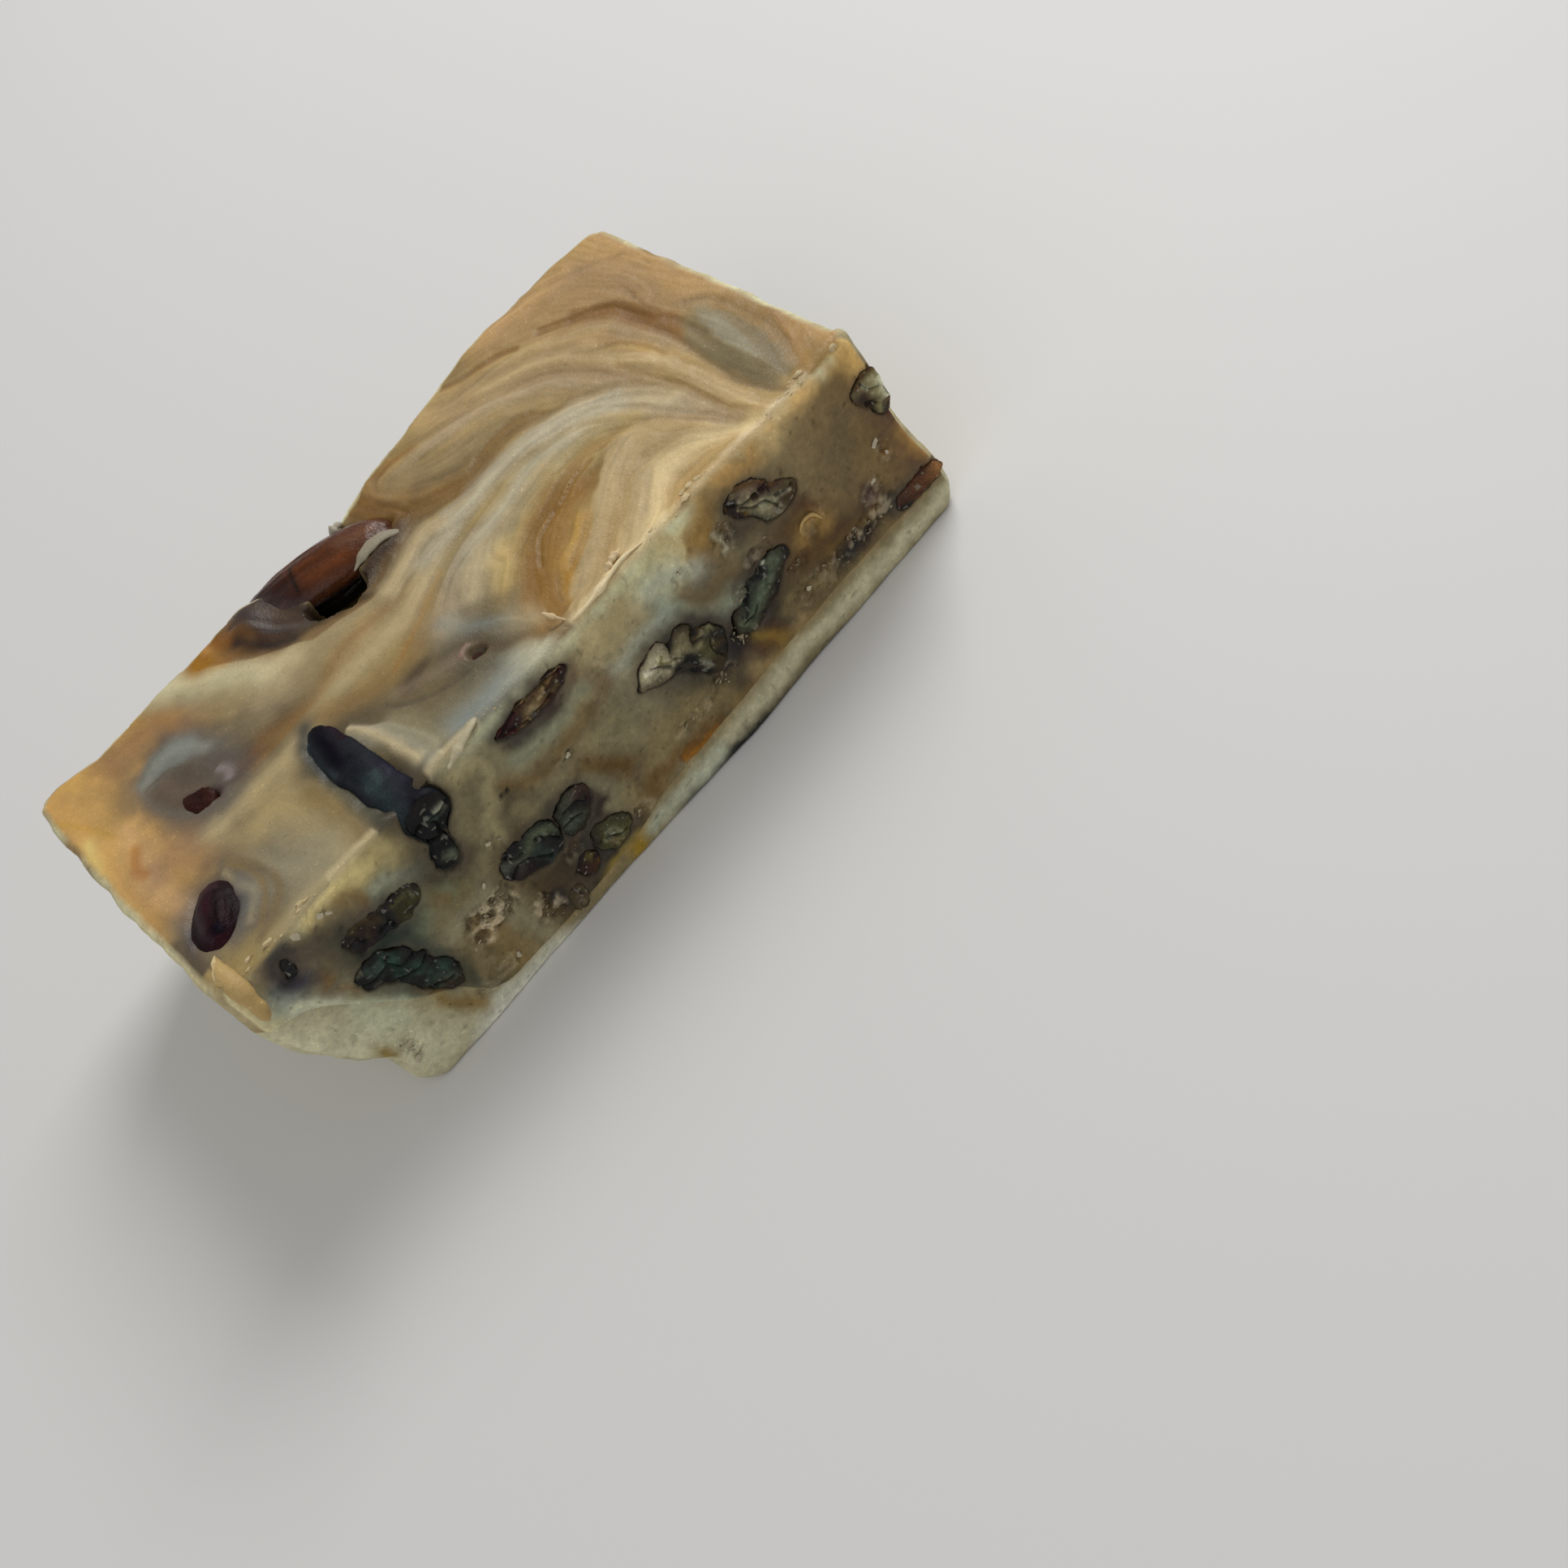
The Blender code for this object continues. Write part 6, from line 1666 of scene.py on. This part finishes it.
whole_pecan("pecan_top_purple",
            pecan_half((-49.5, -14.2, 29.6), (6.0, 4.1, 2.9), 61.0, 0.0, 4, 0.08, 84),
            ("34161e",
             (("42383c", 1.5, 0.8, (-51.6, -15, -51, -12, -49.4, -10.2)),
              ("3e282c", 1.2, 0.8, (-48.4, -10, -46.8, -12, -46.8, -14.6)),
              ("16080b", 0.9, 0.9, (-47, -11.6, -48.2, -14, -50.6, -18)),
              ("100a16", 0.9, 0.9, (-49.8, -16.4, -50, -18)),
              ("362c32", 0.6, 0.7, (-51.8, -16.4, -51.4, -18)))), 0.42, PECAN_DULL)
print("whole pecan halves made: 4")

# %% [markdown]
# The long pecan that the knife cut at the front edge
#
# It lies along Y and its end shows two lobes. The cut outline is carried from the hidden
# tip to the knife's face, growing like a rounded nose, and the cut end is drawn in to
# its middle as a cap with the same lumps and creases as the other cut pecans.

# %% Long pecan
LONG_TIP = -1.4
LONG_SKIN = (
    ("323e40", 1.6, 0.8, (-27.4, -26, -26, -18)),
    ("3e4c4c", 0.7, 0.7, (-27.6, -19, -26, -20.4, -25, -17.6)),
    ("262232", 1, 0.8, (-23.6, -24, -23.4, -20, -24, -16.4)),
    ("3a3846", 0.4, 0.7, (-24.6, -20.6, -23.8, -19, -24, -17.6)),
    ("1a2026", 1.4, 0.8, (-26.4, -16.6, -25.8, -13.6)),
    ("0b0714", 2.2, 1, (-27, -12, -25, -3)),
    ("28121c", 0.7, 0.8, (-24.4, -9.6, -24, -7, -24.4, -5)),
    ("343e42", 0.9, 0.8, (-28.6, -14, -28.9, -9, -28.2, -5.4, -26.8, -2.8)),
    ("0e0b14", 1.3, 0.9, (-24.8, -27.4, -23, -23.6)),
)


def long_pecan(rows=130, cap=30):
    """Section: the cut outline about its middle, times the square root of a quarter
    circle near the tip; its lower lobe melts into the upper one behind the face."""
    loop = smooth_path(pairs(LONG_END), 110, closed=True)
    middle = np.array([-25.1, 27.6])
    run = np.linspace(0.012, 1.0, rows)[:, None]
    end_y = front_y(-25.0, 27.0) - 0.12
    y = LONG_TIP + (end_y - LONG_TIP) * run
    size = np.sqrt(1.0 - (1.0 - np.clip(run / 0.2, 0.0, 1.0)) ** 2)
    away = loop - middle
    wrinkle = as_points(away[:, 0][None], away[:, 1][None], y / 3.4)
    swell = 1.0 + 0.13 * rough(wrinkle, 2.0, 85) + 0.04 * rough(wrinkle, 0.7, 88)
    swell = swell * (1.0 - 0.06 * ease((run - 0.975) / 0.025))
    shift = -1.0 * np.sin(math.pi * run) - 0.9 * (1.0 - run)
    body = as_points(middle[0] + shift + away[:, 0] * size * swell, y,
                     middle[1] + away[:, 1] * size * swell - 0.1)
    body[..., 2] = np.where(body[..., 2] > 31.4, 31.4 + 0.55 * (body[..., 2] - 31.4),
                            body[..., 2])
    shrink = np.linspace(0.97, 0.02, cap)[:, None, None]
    centre = np.array([-25.4, end_y, 26.6])
    face = centre + (body[-1][None] - centre) * shrink
    places = face[..., [0, 2]].reshape(-1, 2)
    tones = [in_shade(tone) for tone in LONG_TONES]
    tint, relief, to_rim = flesh(places, loop, tones, LONG_CREASES, NUT_STROKES["long_end"])
    face[..., 1] = end_y + (0.35 * np.exp(-(to_rim / 0.3) ** 2) - relief).reshape(cap, -1)
    return np.concatenate([body, face]), tint


rings, end_tint = long_pecan()
points, faces = skin(rings, rings[0].mean(axis=0), rings[-1].mean(axis=0))
tint = np.tile(shade("22242a"), (len(points), 1))
paint(tint, np.zeros(len(points)), points[:, :2], LONG_SKIN, 90, 1.2)
first_end = len(points) - 2 - len(end_tint)
tint[first_end:-2] = end_tint
tint[-1] = end_tint[-1]
make_piece("pecan_top_long_half", points, faces, PECAN_DULL,
           ("pecan_top_long",), tint, np.full(len(points), 0.5), sharp=80.0)
print("long pecan spans", np.ptp(points, axis=0).round(1))

# %% [markdown]
# Flakes, curls and crumbs
#
# The knife leaves slivers along the edge, and crumbs lie where the fudge broke. A sliver
# is a flat tube along a path with pointed ends. A crumb is a small lumpy ball with few
# faces, because there are hundreds, scattered where the face is crumbled.

# %% Slivers and crumbs


def sliver(path, wide, thick, seed, rows=36, around=14):
    """Oval section wide by thick carried along the path, its size the square root of the
    sine of the share along, with a wobbly edge."""
    line = smooth_path(path, rows)
    ahead = np.gradient(line, axis=0)
    ahead /= np.linalg.norm(ahead, axis=1)[:, None]
    sideways = np.cross(ahead, (0.0, 0.0, 1.0))
    sideways /= np.maximum(np.linalg.norm(sideways, axis=1), 1e-6)[:, None]
    upward = np.cross(sideways, ahead)
    share = np.linspace(0.0, 1.0, rows)
    size = np.sqrt(np.sin(math.pi * np.clip(share, 0.01, 0.99)))
    size = size * (1.0 + 0.45 * grain(as_points(share * 9.0, 0.0, seed), 1.0, seed))
    angle = np.linspace(0.0, 2.0 * math.pi, around, endpoint=False)
    rings = (line[:, None] + (size[:, None] * np.cos(angle) * wide)[..., None] * sideways[:, None]
             + (size[:, None] * np.sin(angle) * thick)[..., None] * upward[:, None])
    return skin(rings[1:-1], line[0], line[-1])


def crumb(centre, size, seed, squash=(1.0, 1.0, 1.0), turn=0.0):
    """Small crumbled bit: a ball of few faces with its radius changed by grain, squashed
    along the axes and turned about Y."""
    t = np.linspace(0.0, math.pi, 6)[1:-1, None]
    angle = np.linspace(0.0, 2.0 * math.pi, 7, endpoint=False)[None, :]
    ball = as_points(np.sin(t) * np.cos(angle), np.sin(t) * np.sin(angle), np.cos(t))
    ball = ball * (1.0 + 0.6 * grain(ball + 3.7 * seed, 0.7, seed))[..., None]
    ball = ball * size * np.array(squash)
    x = ball[..., 0] * math.cos(turn) - ball[..., 2] * math.sin(turn)
    z = ball[..., 0] * math.sin(turn) + ball[..., 2] * math.cos(turn)
    ball = as_points(x, ball[..., 1], z) + np.array(centre)
    return skin(ball, ball[0].mean(axis=0), ball[-1].mean(axis=0))


def joined(parts):
    """Several meshes as one list of points and faces."""
    points, faces, start = [], [], 0
    for part_points, part_faces in parts:
        points.append(part_points)
        faces += [tuple(int(n) + start for n in face) for face in part_faces]
        start += len(part_points)
    return np.vstack(points), faces


SLIVERS = (
    (shade("bea068"), ((-53.6, -27.9, 26.6), (-53.1, -27.9, 29.2), (-53, -26.2, 31.3),
                            (-53, -23.2, 32.1), (-52.4, -20, 32)), 1, 0.9),
    # The second sliver, a thin pale curl on the flap's ridge, is pale as a painted highlight.
    (shade("d6be8a"), ((-54.2, -26.6, 31.2), (-54, -24, 32.1), (-53.2, -21.8, 32.5),
                            (-52.2, -20.3, 32.5)), 0.35, 0.3),
    (RIDGE, ((2.4, -24.8, 31.6), (1.7, -23.4, 32.3), (1.4, -21.4, 32.2)), 0.3, 0.25),
    (WHITE, ((-19.8, -27, 31.4), (-17.4, -26.6, 32), (-14.8, -26, 32.3),
             (-13.2, -25, 32)), 0.7, 0.35),
    (RIDGE, ((9.8, -24.6, 31.9), (11.6, -24.2, 32.3), (13.2, -23.6, 31.9)), 0.6, 0.3),
    (shade("e8d4a8"), ((2.6, -25.8, 31.7), (5, -26.2, 32), (8.4, -25.9, 32.1),
                            (12, -25.2, 32), (15.4, -25.4, 31.6)), 0.5, 0.35),
    (in_shade("8e764a"), ((31.9, -27.9, 15.6), (33, -28.1, 16.8), (34.6, -28.1, 16.5),
                              (35.8, -27.9, 14.2)), 0.22, 0.22),
    (shade("988e78"), ((-6.8, 12.8, 31.1), (-3.8, 13.2, 31.7), (-1, 13, 31.6),
                            (1.2, 11.8, 31)), 1.1, 0.35),
    (shade("a8a08c"), ((-4.8, 22.6, 30.6), (-3.4, 22.4, 31.3), (-2.2, 22.8, 31)), 0.8,
     0.5),
)
for number, (tone, path, wide, thick) in enumerate(SLIVERS):
    points, faces = sliver(path, wide, thick, 91 + number)
    make_piece("sliver_%d" % number, points, faces, MARBLED, (),
               np.tile(tone, (len(points), 1)), np.full(len(points), 0.5), sharp=80.0)

CRUMB_SPOTS = ((-46.2, 8, 0.5), (-47.4, 5.2, 0.45), (-30, 4.2, 0.4), (-22.8, 19.3, 0.4),
               (-12.8, 25.8, 0.3), (-26.7, 15.6, 0.35), (-25.4, 17, 0.3), (-11.7, 18.4, 0.3),
               (47.3, 16.2, 0.6), (48.3, 13.6, 0.4), (28.8, 8.4, 0.35), (33.1, 8.3, 0.45),
               (-44.8, 30.8, 0.6), (-41.4, 30.4, 0.5), (44.2, 12.2, 0.4), (-8.6, 19.4, 0.35),
               (-40.5, 29.7, 0.4))
chance = np.random.default_rng(12)
parts = [crumb(on_face("front", x, z, 0.12), size, 101 + k, (1.3, 0.4, 0.9), 0.9 * k)
         for k, (x, z, size) in enumerate(CRUMB_SPOTS)]
tones = [in_shade("8c8470")] * len(parts)
for (x, z), (half_x, half_z), strength in CRUMBLES:
    count = int(9.0 * half_x * half_z * strength)
    spread = chance.normal(0.0, 0.5, (count, 2)) * (half_x, half_z) + (x, z)
    for along, height in spread:
        size = 0.08 + 0.2 * chance.random() ** 3
        squash = (0.8 + 1.2 * chance.random(), 0.3, 0.5 + 0.5 * chance.random())
        parts.append(crumb(on_face("front", along, height, 0.14), size, len(parts), squash,
                           3.1 * chance.random()))
        tones.append(in_shade("706652") * (0.55 + 0.75 * chance.random()))
points, faces = joined(parts)
tints = np.repeat(np.clip(tones, 0.0, 0.9), len(parts[0][0]), axis=0)
make_piece("face_crumbs", points, faces, MARBLED, (), tints,
           np.full(len(points), 0.6), sharp=30.0)

ridge_parts = []
for number in range(150):
    x = -54.0 + 106.0 * chance.random()
    bright = rough(as_points(x, 0.0, 0.0), 7.0, 69)
    if bright < -0.1 or -28.6 < x < -21.4:
        continue
    y = FRONT_FOOT + FRONT_LEAN + 0.5 + 1.6 * chance.random()
    size = 0.12 + 0.4 * chance.random() ** 2
    ridge_parts.append(crumb((x, y, float(top_z(x, y)) - 0.05), size, 300 + number,
                             (1.6, 0.8, 0.7)))
points, faces = joined(ridge_parts)
make_piece("edge_crumbs", points, faces, MARBLED, (),
           np.tile(shade("ceb88c"), (len(points), 1)), np.full(len(points), 0.55))
print("slivers:", len(SLIVERS), "crumbs:", len(parts) + len(ridge_parts))

# %% [markdown]
# Floor, camera and light
#
# The slice lies on a plain pale floor. Soft daylight comes from behind and above, so the
# top is bright and the cut face is in open shade.

# %% Studio
floor_mesh = bpy.data.meshes.new("studio_floor")
floor_mesh.from_pydata([(-3, -3, 0), (3, -3, 0), (3, 3, 0), (-3, 3, 0)], [], [(0, 1, 2, 3)])
floor = bpy.data.objects.new("studio_floor", floor_mesh)
bpy.context.collection.objects.link(floor)
floor_finish = bpy.data.materials.new("studio_floor")
floor_finish.use_nodes = True
floor_body = floor_finish.node_tree.nodes["Principled BSDF"]
floor_body.inputs["Base Color"].default_value = (0.72, 0.71, 0.69, 1.0)
floor_body.inputs["Roughness"].default_value = 0.6
floor_mesh.materials.append(floor_finish)
floor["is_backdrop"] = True

CAMERA_PLACE = (-0.031946, -0.176592, 0.162662)
CAMERA_RIGHT = (0.64323, -0.65502, -0.39650)
CAMERA_UP = (0.74389, 0.41195, 0.52624)
CAMERA_BACK = (-0.18136, -0.63345, 0.75223)
lens = bpy.data.cameras.new("photo_camera")
lens.lens = 39.6
lens.sensor_width = 36.0
lens.sensor_fit = "HORIZONTAL"
lens.clip_start = 0.005
camera = bpy.data.objects.new("photo_camera", lens)
bpy.context.collection.objects.link(camera)
rows = np.eye(4)
rows[:3, 0], rows[:3, 1], rows[:3, 2], rows[:3, 3] = (CAMERA_RIGHT, CAMERA_UP, CAMERA_BACK,
                                                      CAMERA_PLACE)
camera.matrix_world = Matrix(rows.tolist())
bpy.context.scene.camera = camera


def soft_light(name, place, size, power, tone):
    """Square area light that faces the middle of the slice."""
    lamp = bpy.data.lights.new(name, "AREA")
    lamp.size = size
    lamp.energy = power
    lamp.color = tone
    holder = bpy.data.objects.new(name, lamp)
    bpy.context.collection.objects.link(holder)
    away = -np.array(place) / np.linalg.norm(place)
    side = np.cross(away, (0.0, 0.0, 1.0))
    side /= np.linalg.norm(side)
    turn = np.eye(4)
    turn[:3, 0], turn[:3, 1], turn[:3, 2], turn[:3, 3] = (side, np.cross(side, away), -away,
                                                          place)
    holder.matrix_world = Matrix(turn.tolist())


soft_light("window", (0.62, 0.36, 0.70), 0.5, 6.2, (1.0, 1.0, 1.0))
soft_light("room", (-0.6, -0.35, 0.75), 0.9, 2.2, (1.0, 1.0, 1.0))
world = bpy.data.worlds.new("studio")
world.use_nodes = True
world.node_tree.nodes["Background"].inputs["Color"].default_value = (1.0, 1.0, 1.0, 1.0)
world.node_tree.nodes["Background"].inputs["Strength"].default_value = 0.31
bpy.context.scene.world = world
bpy.context.scene.view_settings.view_transform = "Standard"
print("camera stands", round(1000 * CAMERA_PLACE[2]), "mm above the floor")

# %% [markdown]
#
# Both boxes are printed: the plain solids' and the dressed slice's. The dressed slice
# has to keep the plain one's size.

# %% Size and finish
boxes = {"cad": [list(corner) for corner in cad_box],
         "scene": [list(corner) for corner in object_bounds()]}
for word, (low, high) in boxes.items():
    print(word, [round(1000 * (b - a), 1) for a, b in zip(low, high)], "mm")
